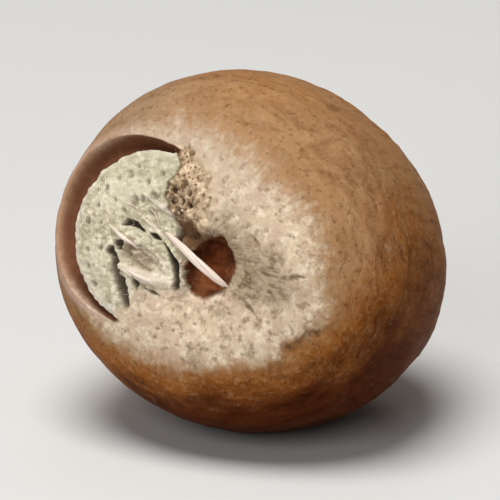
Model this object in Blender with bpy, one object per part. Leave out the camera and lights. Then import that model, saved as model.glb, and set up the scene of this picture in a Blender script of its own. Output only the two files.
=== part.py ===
"""A dried betel nut (areca nut), lying on its flank with its base up to the front.

Metres, +Z up. The nut's own axis runs from the apex to the base. The base faces -Y and
leans back by LYING_TILT, and the nut rests at z = 0 on a small worn flat.

The form is a rounded dome on a flatter base. On the base are the round corky scar where the
seed sat in its husk, the crescent gap between that scar and the skin, two tears in the scar,
and the germ pit with one husk strand across it. Places on the base are given on a base map:
(right, up) in millimetres from the base's pole, as seen looking straight at the base.
"""

import math

import bmesh
import bpy
import numpy as np
from mathutils import Matrix, Vector

MM = 0.001

# The body, millimetres.
WIDTH = 28.0
OVAL = 0.92  # the section's short axis over its long one
OVAL_TURN = math.radians(70.0)  # the short axis, from the nut's right
BASE_DEPTH = 10.3  # from the widest ring to the base
DOME_DEPTH = 15.2  # from the widest ring to the apex
BASE_SQUARENESS = 2.7  # 2 is an ellipse, more is flatter with a tighter shoulder
DOME_SQUARENESS = 2.05
MAP_RADIUS = 11.0  # millimetres on the base map for one radian from the pole
LYING_TILT = math.radians(19.0)
REST_CUT = 0.26  # worn off the lowest point, for the flat that the nut rests on

# Slow swells that make the dried body uneven: waves through space, drawn with one seed.
SWELL_SEED = 310
SWELL_COUNT = 9
SWELL_LENGTHS = (14.0, 30.0)
SWELL_HEIGHT = 0.07

# The corky scar, and the crescent gap round its far side.
SCAR_CENTRE = (-3.1, 0.3)
SCAR_RADIUS = 6.8
SCAR_CROWN = 0.35
GAP_CENTRE = (-4.91, 0.73)
GAP_RADIUS = 6.94
GAP_SPREAD = math.radians(81.0)  # from the middle of the crescent to each horn
GAP_DEPTH = 1.35
LIP_HEIGHT = 0.25
LIP_WIDTH = 0.9

# The funnel in the base and the germ pit at its bottom.
PIT_CENTRE = (1.4, -1.17)
PIT_LONG = 2.9
PIT_SHORT = 2.05
PIT_TURN = math.radians(72.0)
PIT_DEPTH = 2.6
FUNNEL_DEPTH = 1.15
FUNNEL_RADIUS = 4.6

# The husk strand that crosses the pit, and the two tears in the scar: places along each.
STRAND_PLACES = ((-3.0, 1.3), (-1.7, 0.35), (0.4, -1.0), (1.9, -2.0), (3.4, -3.0))
STRAND_WIDTH = 0.7
STRAND_THICKNESS = 0.75
STRAND_RISE = 0.25
TEARS = (
    ((-6.2, -1.5), (-5.8, -3.1), (-5.0, -4.7)),
    ((-2.5, 0.0), (-1.35, -1.7), (-1.15, -3.8)),
)
TEAR_WIDTH = 0.55
TEAR_DEPTH = 0.8

# How finely the body is faceted.
COLUMNS = 80
RINGS = 54
GAP_STATIONS = 34
RIBBON_STATIONS = 8
CUT_HEADROOM = 1.4  # how far a cutter stands out of the skin

SKIN_COLOUR = (0.36, 0.19, 0.085, 1.0)


def smoothstep(low, high, value):
    """0 below low, 1 above high, and an S curve between."""
    t = np.clip((value - low) / (high - low), 0.0, 1.0)
    return t * t * (3.0 - 2.0 * t)


def map_direction(right, up):
    """The unit direction from the body's centre to a place on the base map."""
    angle = np.hypot(right, up) / MAP_RADIUS
    turn = np.arctan2(up, right)
    across = np.sin(angle)
    return np.stack([across * np.cos(turn), across * np.sin(turn), np.cos(angle)], axis=-1)


def map_place(direction):
    """The place on the base map of a unit direction."""
    angle = np.arccos(np.clip(direction[..., 2], -1.0, 1.0))
    turn = np.arctan2(direction[..., 1], direction[..., 0])
    return MAP_RADIUS * angle * np.cos(turn), MAP_RADIUS * angle * np.sin(turn)


def smooth_radius(direction):
    """Distance from the centre to the plain body: two superellipses that meet at the widest ring."""
    along = direction[..., 2]
    across = np.hypot(direction[..., 0], direction[..., 1])
    base_share = smoothstep(-0.3, 0.3, along)
    depth = DOME_DEPTH + (BASE_DEPTH - DOME_DEPTH) * base_share
    power = DOME_SQUARENESS + (BASE_SQUARENESS - DOME_SQUARENESS) * base_share
    reach = (across / (WIDTH / 2)) ** power + (np.abs(along) / depth) ** power
    return reach ** (-1.0 / power)


def swells(direction):
    """Height of the slow swells: a sum of sine waves through space, read on the body."""
    draw = np.random.default_rng(SWELL_SEED)
    height = np.zeros(direction.shape[:-1])
    for _ in range(SWELL_COUNT):
        heading = draw.normal(size=3)
        heading /= np.linalg.norm(heading)
        length = draw.uniform(*SWELL_LENGTHS)
        phase = draw.uniform(0.0, 2.0 * math.pi)
        height += np.sin(2.0 * math.pi * (WIDTH / 2) * (direction @ heading) / length + phase)
    return SWELL_HEIGHT * height


def base_relief(right, up):
    """Height of the broad forms of the base: the funnel, the scar's crown and the lip of the gap."""
    from_pit = np.hypot(right - PIT_CENTRE[0], up - PIT_CENTRE[1])
    funnel = -FUNNEL_DEPTH * np.exp(-((from_pit / FUNNEL_RADIUS) ** 2))
    from_scar = np.hypot(right - SCAR_CENTRE[0], up - SCAR_CENTRE[1])
    crown = SCAR_CROWN * np.clip(1.0 - (from_scar / SCAR_RADIUS) ** 2, 0.0, 1.0)
    from_gap = np.hypot(right - GAP_CENTRE[0], up - GAP_CENTRE[1])
    far_side = smoothstep(0.0, -5.0, right - GAP_CENTRE[0])
    lip = LIP_HEIGHT * far_side * np.exp(-(((from_gap - GAP_RADIUS) / LIP_WIDTH) ** 2))
    return funnel + crown + lip


def surface(right, up, height=0.0):
    """Points of the body in its own frame (right, up, out of the base), lifted off it by height."""
    direction = map_direction(np.asarray(right, float), np.asarray(up, float))
    radius = smooth_radius(direction) + swells(direction) + base_relief(right, up) + height
    points = radius[..., None] * direction
    short_axis = np.array([math.cos(OVAL_TURN), math.sin(OVAL_TURN), 0.0])
    return points - (1.0 - OVAL) * (points @ short_axis)[..., None] * short_axis


def lying():
    """The turn from the nut's own frame to the lying nut, with the base facing -Y and leaning back."""
    right = Vector((1.0, 0.0, 0.0))
    up = Vector((0.0, math.sin(LYING_TILT), math.cos(LYING_TILT)))
    out = Vector((0.0, -math.cos(LYING_TILT), math.sin(LYING_TILT)))
    return Matrix((right, up, out)).transposed().to_4x4()


def clear_scene():
    for old in list(bpy.data.objects):
        bpy.data.objects.remove(old)


def make_object(name, form):
    """A new object that holds this bmesh, which is freed."""
    mesh = bpy.data.meshes.new(name)
    form.to_mesh(mesh)
    form.free()
    made = bpy.data.objects.new(name, mesh)
    bpy.context.scene.collection.objects.link(made)
    return made


def make_body():
    """The body: a UV sphere whose points are moved to the nut's surface, laid down and worn flat
    below. Returns the object and the matrix from the nut's own frame to its place."""
    form = bmesh.new()
    bmesh.ops.create_uvsphere(form, u_segments=COLUMNS, v_segments=RINGS, radius=1.0)
    unit = np.array([vert.co[:] for vert in form.verts])
    for vert, point in zip(form.verts, surface(*map_place(unit))):
        vert.co = Vector(point) * MM
    turn = lying()
    bmesh.ops.transform(form, matrix=turn, verts=form.verts)
    floor = min(vert.co.z for vert in form.verts) + REST_CUT * MM
    everything = form.verts[:] + form.edges[:] + form.faces[:]
    bmesh.ops.bisect_plane(
        form, geom=everything, plane_co=(0, 0, floor), plane_no=(0, 0, -1), clear_outer=True
    )
    rim = [edge for edge in form.edges if edge.is_boundary]
    bmesh.ops.contextual_create(form, geom=rim)
    bmesh.ops.recalc_face_normals(form, faces=form.faces)
    corners = np.array([vert.co[:] for vert in form.verts])
    middle = (corners.min(axis=0) + corners.max(axis=0)) / 2
    shift = Matrix.Translation((-middle[0], -middle[1], -floor))
    bmesh.ops.transform(form, matrix=shift, verts=form.verts)
    return make_object("nut", form), shift @ turn


def make_loft(name, stations, placing):
    """A closed solid through stations of four corners. A corner is (place on the map, height)."""
    form = bmesh.new()
    loops = []
    for corners in stations:
        points = [surface(place[0], place[1], height) for place, height in corners]
        loops.append([form.verts.new(Vector(point) * MM) for point in points])
    for here, there in zip(loops, loops[1:]):
        for corner in range(4):
            after = (corner + 1) % 4
            form.faces.new((here[corner], here[after], there[after], there[corner]))
    form.faces.new(loops[0][::-1])
    form.faces.new(loops[-1])
    bmesh.ops.recalc_face_normals(form, faces=form.faces)
    bmesh.ops.transform(form, matrix=placing, verts=form.verts)
    return make_object(name, form)


def make_gap_cutter(placing):
    """A crescent blade from the scar's edge to the gap's outer circle, deepest in its middle. Its
    stations lie along rays from the scar's centre."""
    scar, gap = np.array(SCAR_CENTRE), np.array(GAP_CENTRE)
    offset = gap - scar
    middle = math.atan2(offset[1], offset[0])
    stations = []
    for share in np.linspace(-1.0, 1.0, GAP_STATIONS + 1):
        turn = middle + share * GAP_SPREAD
        ray = np.array([math.cos(turn), math.sin(turn)])
        ahead = ray @ offset
        reach = ahead + math.sqrt(ahead**2 - offset @ offset + GAP_RADIUS**2)
        inner = scar + SCAR_RADIUS * ray
        outer = scar + reach * ray
        depth = GAP_DEPTH * (0.35 + 0.65 * math.cos(share * math.pi / 2))
        top, bottom = CUT_HEADROOM, -depth
        stations.append([(inner, top), (outer, top), (outer, bottom), (inner, bottom)])
    return make_loft("gap_cutter", stations, placing)


def make_ribbon(name, places, widths, tops, bottoms, placing):
    """A ribbon over the base along a smooth line through these places. Its width and the heights
    of its top and bottom go from their first value to their second."""
    knots = np.array(places)
    reach = np.concatenate([[0.0], np.cumsum(np.linalg.norm(np.diff(knots, axis=0), axis=1))])
    stations = []
    for share in np.linspace(0.0, 1.0, RIBBON_STATIONS + 1):
        along = share * reach[-1]
        place = np.array([np.interp(along, reach, knots[:, axis]) for axis in (0, 1)])
        ahead = np.array([np.interp(along + 0.4, reach, knots[:, axis]) for axis in (0, 1)])
        behind = np.array([np.interp(along - 0.4, reach, knots[:, axis]) for axis in (0, 1)])
        heading = (ahead - behind) / np.linalg.norm(ahead - behind)
        side = np.array([-heading[1], heading[0]]) / 2
        width, top, bottom = (first + (last - first) * share for first, last in (widths, tops, bottoms))
        left, right = place + width * side, place - width * side
        stations.append([(left, top), (right, top), (right, bottom), (left, bottom)])
    return make_loft(name, stations, placing)


def make_pit_cutter(placing):
    """The germ pit: an oval well, sunk from the funnel's surface."""
    form = bmesh.new()
    bmesh.ops.create_uvsphere(form, u_segments=24, v_segments=14, radius=1.0)
    lean = Matrix.Rotation(PIT_TURN, 4, "Z")
    size = Matrix.Diagonal((PIT_LONG * MM, PIT_SHORT * MM, PIT_DEPTH * MM, 1.0))
    spot = Matrix.Translation(Vector(surface(*PIT_CENTRE)) * MM)
    bmesh.ops.transform(form, matrix=placing @ spot @ lean @ size, verts=form.verts)
    return make_object("pit_cutter", form)


def combine(target, helper, operation):
    """Joins or cuts a helper shape into the target, and keeps the helper out of the model."""
    helper.hide_render = True
    helper.display_type = "WIRE"
    change = target.modifiers.new(helper.name, "BOOLEAN")
    change.operation = operation
    change.solver = "EXACT"
    change.object = helper


def skin_material():
    material = bpy.data.materials.new("betel_nut_skin")
    material.use_nodes = True
    shader = material.node_tree.nodes["Principled BSDF"]
    shader.inputs["Base Color"].default_value = SKIN_COLOUR
    shader.inputs["Roughness"].default_value = 0.55
    shader.inputs["Metallic"].default_value = 0.0
    return material


def main():
    clear_scene()
    nut, placing = make_body()
    combine(nut, make_gap_cutter(placing), "DIFFERENCE")
    combine(nut, make_pit_cutter(placing), "DIFFERENCE")
    for index, places in enumerate(TEARS):
        widths = (TEAR_WIDTH, TEAR_WIDTH / 2)
        tops = (CUT_HEADROOM, CUT_HEADROOM)
        depths = (-TEAR_DEPTH, -TEAR_DEPTH / 2)
        tear = make_ribbon(f"tear_cutter_{index}", places, widths, tops, depths, placing)
        combine(nut, tear, "DIFFERENCE")
    widths = (STRAND_WIDTH, STRAND_WIDTH / 3)
    tops = (STRAND_RISE, STRAND_RISE)
    bottoms = (STRAND_RISE - STRAND_THICKNESS, STRAND_RISE - STRAND_THICKNESS)
    strand = make_ribbon("strand_shape", STRAND_PLACES, widths, tops, bottoms, placing)
    combine(nut, strand, "UNION")
    nut.data.materials.append(skin_material())
    nut.data.shade_smooth()


main()
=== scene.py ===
"""A dried betel nut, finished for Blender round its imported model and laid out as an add-on.

The nut lies on its flank with its base towards -Y. Everything on the base is placed on a base
map: (right, up) in millimetres from the base's pole, as seen looking straight at the base. The
formulas are in millimetres, in the nut's own frame of right, up and out of the base. The
properties are in metres, and lay_down() turns the finished points into the model's frame.
"""

import math

import bpy
import numpy as np
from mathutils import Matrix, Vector


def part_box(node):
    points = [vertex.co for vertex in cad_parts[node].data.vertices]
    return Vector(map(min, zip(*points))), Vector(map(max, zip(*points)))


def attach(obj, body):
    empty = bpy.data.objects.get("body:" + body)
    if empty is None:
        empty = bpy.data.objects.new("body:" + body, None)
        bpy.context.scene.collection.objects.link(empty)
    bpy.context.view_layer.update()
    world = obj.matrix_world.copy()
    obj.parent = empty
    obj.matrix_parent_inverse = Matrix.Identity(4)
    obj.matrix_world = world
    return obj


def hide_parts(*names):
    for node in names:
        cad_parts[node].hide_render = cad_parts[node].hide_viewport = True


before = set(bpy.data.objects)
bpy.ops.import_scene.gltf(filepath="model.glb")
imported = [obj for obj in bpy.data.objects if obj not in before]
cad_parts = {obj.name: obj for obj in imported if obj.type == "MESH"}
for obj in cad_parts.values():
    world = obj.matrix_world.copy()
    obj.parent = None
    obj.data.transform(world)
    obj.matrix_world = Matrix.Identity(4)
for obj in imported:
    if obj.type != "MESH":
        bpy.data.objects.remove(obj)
CAD_LOW, CAD_HIGH = (np.array(corner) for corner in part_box("nut"))
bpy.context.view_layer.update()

bl_info = {
    "name": "Dried Betel Nut",
    "version": (1, 0, 0),
    "blender": (4, 5, 0),
    "location": "View3D > Sidebar > Betel Nut",
    "description": "Builds a dried betel nut with its corky scar, gap, germ pit and husk strands",
    "category": "Object",
}

MM = 0.001

# The base map's scale: this many millimetres on it are one radian from the base's pole.
MAP_RADIUS = 11.0
POLE_TO_APEX = MAP_RADIUS * math.pi

# The body's profile. A squareness of 2 is an ellipse, and more is flatter with a tighter shoulder.
BASE_SQUARENESS = 2.7
DOME_SQUARENESS = 2.05
OVAL_TURN = math.radians(70.0)
SWELL_SEED = 310
SWELL_COUNT = 9
SWELL_LENGTHS = (14.0, 30.0)
SWELL_HEIGHT = 0.07
# The plain body is measured at this many places from pole to apex, and round it.
MEASURED_GRID = (240, 360)

# Places and sizes on the base map, in millimetres.
SCAR_CENTRE = (-3.1, 0.3)
SCAR_CROWN = 0.35
GAP_CENTRE = (-4.91, 0.73)
GAP_RADIUS = 6.94
NARROWEST_GAP = 0.35
# Where the gap's outer wall starts and ends, as shares of the way across the gap.
GAP_WALL = (0.82, 0.98)
LIP_WIDTH = 0.9
PIT_CENTRE = (1.235, -1.31)
PIT_LONG = 2.86
PIT_SHORT = 2.22
PIT_TURN = math.radians(72.0)
HOLLOW_LINE = ((-1.6, 1.5), (-0.9, 0.9), (-0.2, 0.5), (0.5, 0.35), (1.3, 0.5))
FUNNEL_RADIUS = 4.6
UNDER_DEPTH = 1.6
# The pale ring's border round its centre: (turn in degrees, radius, softness) places.
HALO_CENTRE = (0.0, -0.4)
HALO_EDGE = (
    (-180, 10.6, 1.6), (-140, 9.7, 1.6), (-120, 8.8, 1.5), (-100, 8.3, 1.4), (-80, 8.0, 1.3),
    (-60, 8.4, 1.2), (-44, 9.0, 0.9), (-36, 8.75, 0.7), (-28, 9.4, 0.8), (-15, 9.75, 1.1),
    (0, 9.15, 1.6), (20, 9.1, 1.9), (40, 8.5, 2.1), (60, 8.4, 2.1), (80, 8.6, 2.1), (100, 9.4, 2.2),
    (125, 10.2, 2.4), (180, 10.6, 1.6),
)

# The scar's torn side, and the far side of the crumbled strip beside it: (up, right) places.
TORN_EDGE = (
    (-6.5, 1.6), (-4.6, 0.7), (-3.6, -0.3), (-3.0, -0.7), (-1.9, -1.02), (-0.45, -0.95),
    (0.5, -1.5), (1.7, -1.85), (2.3, -2.05), (3.0, -2.65), (3.9, -2.95), (4.9, -2.8), (5.5, -2.1),
    (6.3, -2.1), (7.2, -2.5),
)
CRUMBLE_EDGE = (
    (0.6, -0.4), (1.9, 0.4), (3.0, 0.9), (4.4, 1.05), (5.9, 0.55), (6.9, -0.5), (7.5, -1.5),
)
# Where the scar's tissue ends on the pale ring below it: (right, up) places.
LOWER_EDGE = (
    (-6.4, -9.0), (-5.7, -6.9), (-4.8, -5.9), (-3.2, -5.2), (-1.0, -4.7), (0.6, -4.2), (2.0, -3.9),
)

# Slits torn into the scar: the places along each, its width and its depth.
SLITS = (
    (((-6.4, -0.95), (-6.05, -1.9), (-5.75, -2.9), (-5.3, -3.9), (-4.85, -5.0), (-4.55, -5.75)),
     0.95, 1.1),
    (((-2.6, 0.05), (-2.1, -0.72), (-1.6, -1.67), (-1.33, -2.7), (-1.2, -3.6), (-1.25, -4.5)),
     0.6, 0.95),
    (((-5.85, 0.9), (-5.4, 1.2), (-4.8, 1.15), (-4.3, 0.8)), 0.66, 0.7),
    (((-3.72, 0.68), (-3.35, 0.55), (-2.95, 0.32)), 0.5, 0.5),
    (((-3.6, -3.65), (-2.9, -3.9), (-2.35, -4.15)), 0.2, 0.2),
    (((-4.4, -2.95), (-4.25, -3.35), (-4.15, -3.8)), 0.66, 0.8),
    (((-5.8, -0.3), (-5.95, -0.55), (-5.9, -0.85)), 0.9, 0.8),
    (((-6.5, -0.9), (-6.5, -1.2), (-6.35, -1.5)), 0.85, 0.9),
)
# Paler bands of the scar: the places along each, its width, and no depth.
PALE_BANDS = (
    (((-7.7, -0.9), (-7.5, -2.6), (-6.9, -4.4)), 2.6, 0.0),
    (((-8.2, 1.8), (-6.9, 3.0), (-5.3, 3.8), (-3.8, 4.5)), 2.6, 0.0),
)
# Larger pores of the scar, and the holes in the crumbled strip: (right, up, radius).
PORES = (
    (-8.6, 0.45, 0.3), (-8.25, -1.45, 0.2), (-8.15, -2.6, 0.24), (-7.5, -3.8, 0.24),
    (-7.4, 3.3, 0.22), (-5.8, 4.7, 0.28), (-4.55, 3.15, 0.25), (-3.75, 2.3, 0.36),
    (-5.2, 2.85, 0.4), (-3.65, 3.6, 0.34), (-7.45, 0.7, 0.2), (-7.3, -1.15, 0.2), (-4.3, 4.5, 0.2),
    (-6.65, 4.3, 0.18), (-7.9, 1.9, 0.2), (-0.85, -3.85, 0.75), (-5.9, 2.0, 0.2), (-3.3, 5.4, 0.2),
    (-5.2, 5.4, 0.16), (-6.6, 2.6, 0.18), (-5.15, -1.05, 0.42),
)
HOLES = (
    (-2.45, 4.6, 0.36), (-2.45, 3.65, 0.42), (-1.9, 2.95, 0.32), (-1.75, 3.85, 0.3),
    (-1.1, 4.55, 0.26), (-1.0, 3.7, 0.28), (-0.7, 1.4, 0.4),
)
POCKET_CENTRE = (-4.3, -1.35)
POCKET_SIZE = (2.25, 1.2)
POCKET_TURN = math.radians(-28.0)
# Dark lines on the pale ring: the places along each, its width and its depth.
CRACKS = (
    (((4.25, -3.3), (4.5, -3.6), (4.75, -3.8), (5.05, -4.05), (5.3, -4.35)), 0.5, 0.16),
    (((4.5, -1.2), (4.65, -1.6), (4.75, -2.0)), 0.85, 0.12),
    (((4.0, -2.45), (4.25, -2.3), (4.5, -2.15)), 0.5, 0.1),
    (((4.85, 1.65), (5.0, 1.3), (5.2, 0.95)), 0.6, 0.1),
    (((6.2, 0.4), (6.25, 0.05), (6.3, -0.35)), 0.5, 0.08),
    (((6.95, -1.05), (7.5, -0.85), (8.15, -0.62)), 0.5, 0.12),
    (((5.5, -0.9), (6.2, -1.0), (6.9, -1.0)), 0.3, 0.06),
    (((6.0, -1.9), (6.25, -2.4), (6.7, -2.95)), 0.36, 0.06),
    (((6.85, -6.0), (7.15, -6.05), (7.5, -5.9)), 0.7, 0.2),
    (((7.35, -5.9), (7.8, -5.55), (8.25, -5.1), (8.42, -4.6), (8.45, -4.2)), 0.36, 0.1),
    (((8.65, -4.75), (8.95, -4.6), (9.3, -4.4)), 0.7, 0.16),
)
# Soft brown spots of the pale ring and the scar's lower end: (right, up, radius).
SPOTS = (
    (2.9, -5.97, 0.45), (2.8, -4.55, 0.95), (5.33, -4.8, 0.35), (4.25, -5.5, 0.3),
    (-0.85, -3.85, 0.7), (0.6, -8.0, 0.75), (4.8, -6.7, 0.7), (3.6, -3.2, 0.35), (6.5, -7.6, 0.75),
    (8.4, -7.3, 0.5), (5.15, -1.6, 0.7),
)
SPOT_DARK = 0.62
# Dark streaks of the brown skin: the places along each, its width and its depth. The first,
# broad one is a band of painted shade over the top of the skin above the pale ring.
STREAKS_AND_SHADE_BAND = (
    (((0.4, 10.9), (2.4, 10.5), (4.2, 10.6), (6.4, 10.4)), 3.0, 0.03),
    (((6.6, 8.8), (7.6, 8.7), (8.9, 8.2), (10.3, 7.2)), 1.5, 0.04),
    (((6.2, 8.3), (6.5, 8.4), (6.85, 8.5)), 1.1, 0.05),
    (((6.7, 8.5), (7.4, 9.3), (8.4, 10.2)), 0.7, 0.04),
    (((7.6, 7.2), (8.8, 7.0), (9.7, 7.1)), 0.6, 0.03),
    (((9.5, 7.15), (10.0, 6.95), (10.5, 6.95)), 1.15, 0.06),
    (((10.4, 7.0), (11.4, 6.75), (12.6, 6.9)), 0.8, 0.04),
    (((6.5, 10.5), (7.9, 11.1), (9.2, 10.85)), 0.8, 0.04),
    (((8.7, 9.15), (9.4, 8.5), (9.9, 7.9)), 0.5, 0.03),
    (((10.3, 5.6), (10.7, 4.9), (10.95, 4.4)), 0.4, 0.04),
    (((12.75, 3.5), (12.6, 2.6), (12.75, 1.7), (13.2, 0.8)), 0.75, 0.05),
    (((13.6, 3.3), (13.9, 2.4), (14.6, 1.7)), 0.7, 0.05),
    (((4.1, -8.3), (5.8, -8.15), (7.5, -8.25)), 0.7, 0.05),
    (((4.8, -9.8), (6.9, -9.65), (8.8, -9.85)), 0.6, 0.06),
    (((9.9, -4.1), (10.4, -4.6), (11.6, -4.4)), 0.4, 0.05),
)
STAIN_CENTRE = (4.8, -1.3)
STAIN_REACH = (1.25, 1.0)
# A greyer patch of the skin at its upper left.
UPPER_LEFT_GREY_CENTRE = (-7.5, 9.5)
UPPER_LEFT_GREY_RADIUS = 5.0

# Raised bands of the scar: the places along each, its width and its height.
RIDGES = (
    (((-5.9, -2.05), (-4.7, -2.45), (-3.6, -2.75), (-2.3, -2.85), (-1.7, -2.8)), 0.75, 0.26),
    (((-5.9, -2.1), (-4.7, -2.65), (-3.57, -3.05), (-2.3, -3.35), (-1.6, -3.4)), 0.75, 0.26),
    (((-3.5, -2.9), (-2.5, -3.05), (-1.45, -3.15)), 1.3, 0.32),
    (((-4.9, -3.2), (-4.6, -4.2), (-4.3, -5.2)), 0.45, 0.13),
    (((-5.5, -2.6), (-5.0, -3.8), (-4.5, -4.9)), 0.4, 0.12),
    (((-6.6, 0.65), (-5.7, 0.0), (-4.6, -0.7)), 0.36, 0.14),
    (((-3.0, -0.9), (-2.4, -1.9), (-2.0, -3.0)), 0.5, 0.12),
    (((-4.3, 1.75), (-3.4, 1.05), (-2.6, 0.5)), 0.4, 0.12),
    (((-4.3, 3.5), (-3.1, 2.95), (-2.3, 2.6), (-1.75, 2.25)), 0.6, 0.22),
    (((-1.25, -0.9), (-1.15, -2.4), (-1.05, -3.6)), 0.4, 0.16),
)

# The husk strands: (right, up, lift) along each, then its width and thickness.
STRANDS = (
    (((-3.4, 1.6, -0.2), (-1.7, 0.4, 0.2), (0.4, -1.0, 0.70), (1.9, -2.0, 0.62),
      (3.1, -2.78, -0.1)), 0.62, 0.34),
    (((-2.5, 1.15, -0.2), (-1.2, 0.2, 0.25), (0.6, -0.95, 0.82), (2.0, -1.95, 0.72),
      (3.2, -2.85, 0.0)), 0.34, 0.26),
    (((-2.6, 0.65, -0.2), (-1.3, -0.1, 0.12), (0.5, -1.25, 0.55), (1.6, -2.05, 0.5),
      (2.7, -2.9, -0.1)), 0.28, 0.2),
    (((-6.6, 0.6, -0.12), (-5.9, 0.22, 0.18), (-5.3, -0.15, 0.2), (-4.65, -0.55, -0.15)),
     0.28, 0.2),
    (((-5.6, -2.15, -0.1), (-4.4, -2.6, 0.32), (-3.2, -3.0, 0.32), (-1.9, -3.3, -0.1)), 0.24, 0.16),
)

# Scattered dots: their spacing and seed, the least radius, what the largest have more, the share
# of them left out, and the share of the radius within which a dot is full.
POCKS = (0.62, 31, 0.07, 0.12, 0.45, 0.3)
GRIT = (0.5, 33, 0.10, 0.10, 0.3, 0.2)
STRIP_BEADS = (0.5, 17, 0.22, 0.0, 0.5, 0.05 / 0.22)
STRIP_HOLES = (0.7, 18, 0.10, 0.16, 0.35, 0.4)
FINE_PORES = (0.62, 89, 0.08, 0.14, 0.4, 0.1)
BEADS = (0.46, 97, 0.12, 0.14, 0.35, 0.0)
HAIR_SEED = 77
CRUMB_SEED = 91

# Heights and depths of the skin's relief.
LUMP_HEIGHT = 0.10
WRINKLE_HEIGHT = 0.06
VEIN_HEIGHT = 0.05
APEX_HEIGHT = 0.35
APEX_RADIUS = 1.6
RING_THICKNESS = 0.04
RING_GRAIN = 0.06
GRIT_HEIGHT = 0.04
POCK_DEPTH = 0.09
STRIP_DEPTH = 0.08
STRIP_INNER_DEPTH = 0.2
STRIP_GRAIN = 0.26
STRIP_BEAD_HEIGHT = 0.06
HOLE_DEPTH = 0.45
HOLLOW_DEPTH = 0.75
# How much the widths of the cracks and streaks change along them.
MARK_ROUGHNESS = 0.2

# Heights and depths of the scar's relief.
CORK_LUMPS = 0.12
CORK_GRAIN = 0.06
BEAD_HEIGHT = 0.045
FINE_PORE_DEPTH = 0.10
PORE_DEPTH = 0.15
POCKET_DEPTH = 0.24
THREAD_HEIGHT = 0.14
FURROW_DEPTH = 0.09
RIM_DROP = 0.14
SLIT_ROUGHNESS = 0.24

# How finely the pieces are divided.
SKIN_COLUMNS = 470
SCAR_COLUMNS = 560


# ---------------------------------------------------------------- properties


def length_property(name, description, default):
    return bpy.props.FloatProperty(
        name=name, description=description, default=default, unit="LENGTH"
    )


def colour_property(name, description, default):
    return bpy.props.FloatVectorProperty(
        name=name, description=description, default=default, subtype="COLOR", min=0.0, max=1.0
    )


class BetelNutShape(bpy.types.PropertyGroup):
    """Sizes of the nut."""

    width: length_property("Width", "Widest measure across the nut", 0.028)
    oval: bpy.props.FloatProperty(
        name="Oval", description="Short axis of the section over its long axis",
        default=0.92, min=0.7, max=1.0, subtype="FACTOR",
    )
    base_depth: length_property("Base Depth", "From the widest ring to the base", 0.0103)
    dome_depth: length_property("Dome Depth", "From the widest ring to the apex", 0.0152)
    tilt: bpy.props.FloatProperty(
        name="Tilt", description="How far the base leans back as the nut lies",
        default=math.radians(19.0), subtype="ANGLE",
    )
    scar_radius: length_property("Scar Radius", "Radius of the round corky scar", 0.0068)
    gap_depth: length_property("Gap Depth", "Depth of the crescent gap round the scar", 0.00135)
    lip_height: length_property("Lip Height", "How far the skin stands up at the gap", 0.00025)
    pit_depth: length_property("Pit Depth", "Depth of the germ pit below its funnel", 0.0023)
    funnel_depth: length_property(
        "Funnel Depth", "Depth of the hollow that the pit lies in", 0.00115
    )
    hairs: bpy.props.IntProperty(
        name="Hairs", description="Fine husk hairs on the scar", default=42, min=1, max=400
    )
    crumbs: bpy.props.IntProperty(
        name="Crumbs", description="Crumbs along the torn edge", default=130, min=1, max=600
    )


class BetelNutFinish(bpy.types.PropertyGroup):
    """Colours of the nut and of the stage, scene linear."""

    # The light skin is laid on the upper side as painted light, the dark skin below as painted
    # shade.
    skin_light: colour_property("Light Skin", "Tan of the skin, laid on its upper side as painted light", (0.38, 0.208, 0.094))
    skin_warm: colour_property("Warm Skin", "Chestnut of the skin", (0.31, 0.106, 0.020))
    skin_dark: colour_property("Dark Skin", "Dark brown of the skin, laid on its lower side as painted shade", (0.085, 0.019, 0.004))
    halo: colour_property("Pale Ring", "The pale ring round the pit", (0.66, 0.52, 0.36))
    speck: colour_property("Specks", "Specks and stains on the pale ring", (0.27, 0.18, 0.11))
    scar: colour_property("Scar", "Corky tissue of the scar", (0.58, 0.52, 0.36))
    scar_light: colour_property("Scar Highlights", "Beads and torn rims", (0.79, 0.73, 0.55))
    # The gap colour is dark brown, darkened further as painted shade in the groove.
    gap: colour_property("Gap", "Walls of the crescent gap", (0.145, 0.057, 0.029))
    # The pit colour is used deep in the pit, lightened there as painted light.
    pit: colour_property("Pit", "Inside of the germ pit", (0.29, 0.088, 0.032))
    strand: colour_property("Strand", "Husk strands", (0.95, 0.81, 0.70))
    crumb: colour_property("Crumbs", "The palest crumbs", (0.70, 0.54, 0.36))
    floor: colour_property("Floor", "Plain floor under the nut", (0.66, 0.65, 0.63))


# ---------------------------------------------------------------- formulas


def smoothstep(low, high, value):
    """0 at low, 1 at high, and 3t^2 - 2t^3 between. low may be above high."""
    t = np.clip((value - low) / (high - low), 0.0, 1.0)
    return t * t * (3.0 - 2.0 * t)


def bell(value, width):
    """exp(-(value / width)^2): 1 where the value is 0, fading out over about the width."""
    return np.exp(-((value / width) ** 2))


def blend(first, second, share):
    """first where share is 0, second where it is 1."""
    return first + (second - first) * share


def lattice_draw(cells, seed, width):
    """Numbers drawn for whole-number cells: the cell's three coordinates are hashed one after the
    other through a shuffled table of 256, and the last hash picks a row of a drawn table."""
    draw = np.random.default_rng(seed)
    order = draw.permutation(256)
    table = draw.random((256, width))
    row = order[cells[..., 0] & 255]
    row = order[(row + cells[..., 1]) & 255]
    row = order[(row + cells[..., 2]) & 255]
    return table[row]


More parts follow.
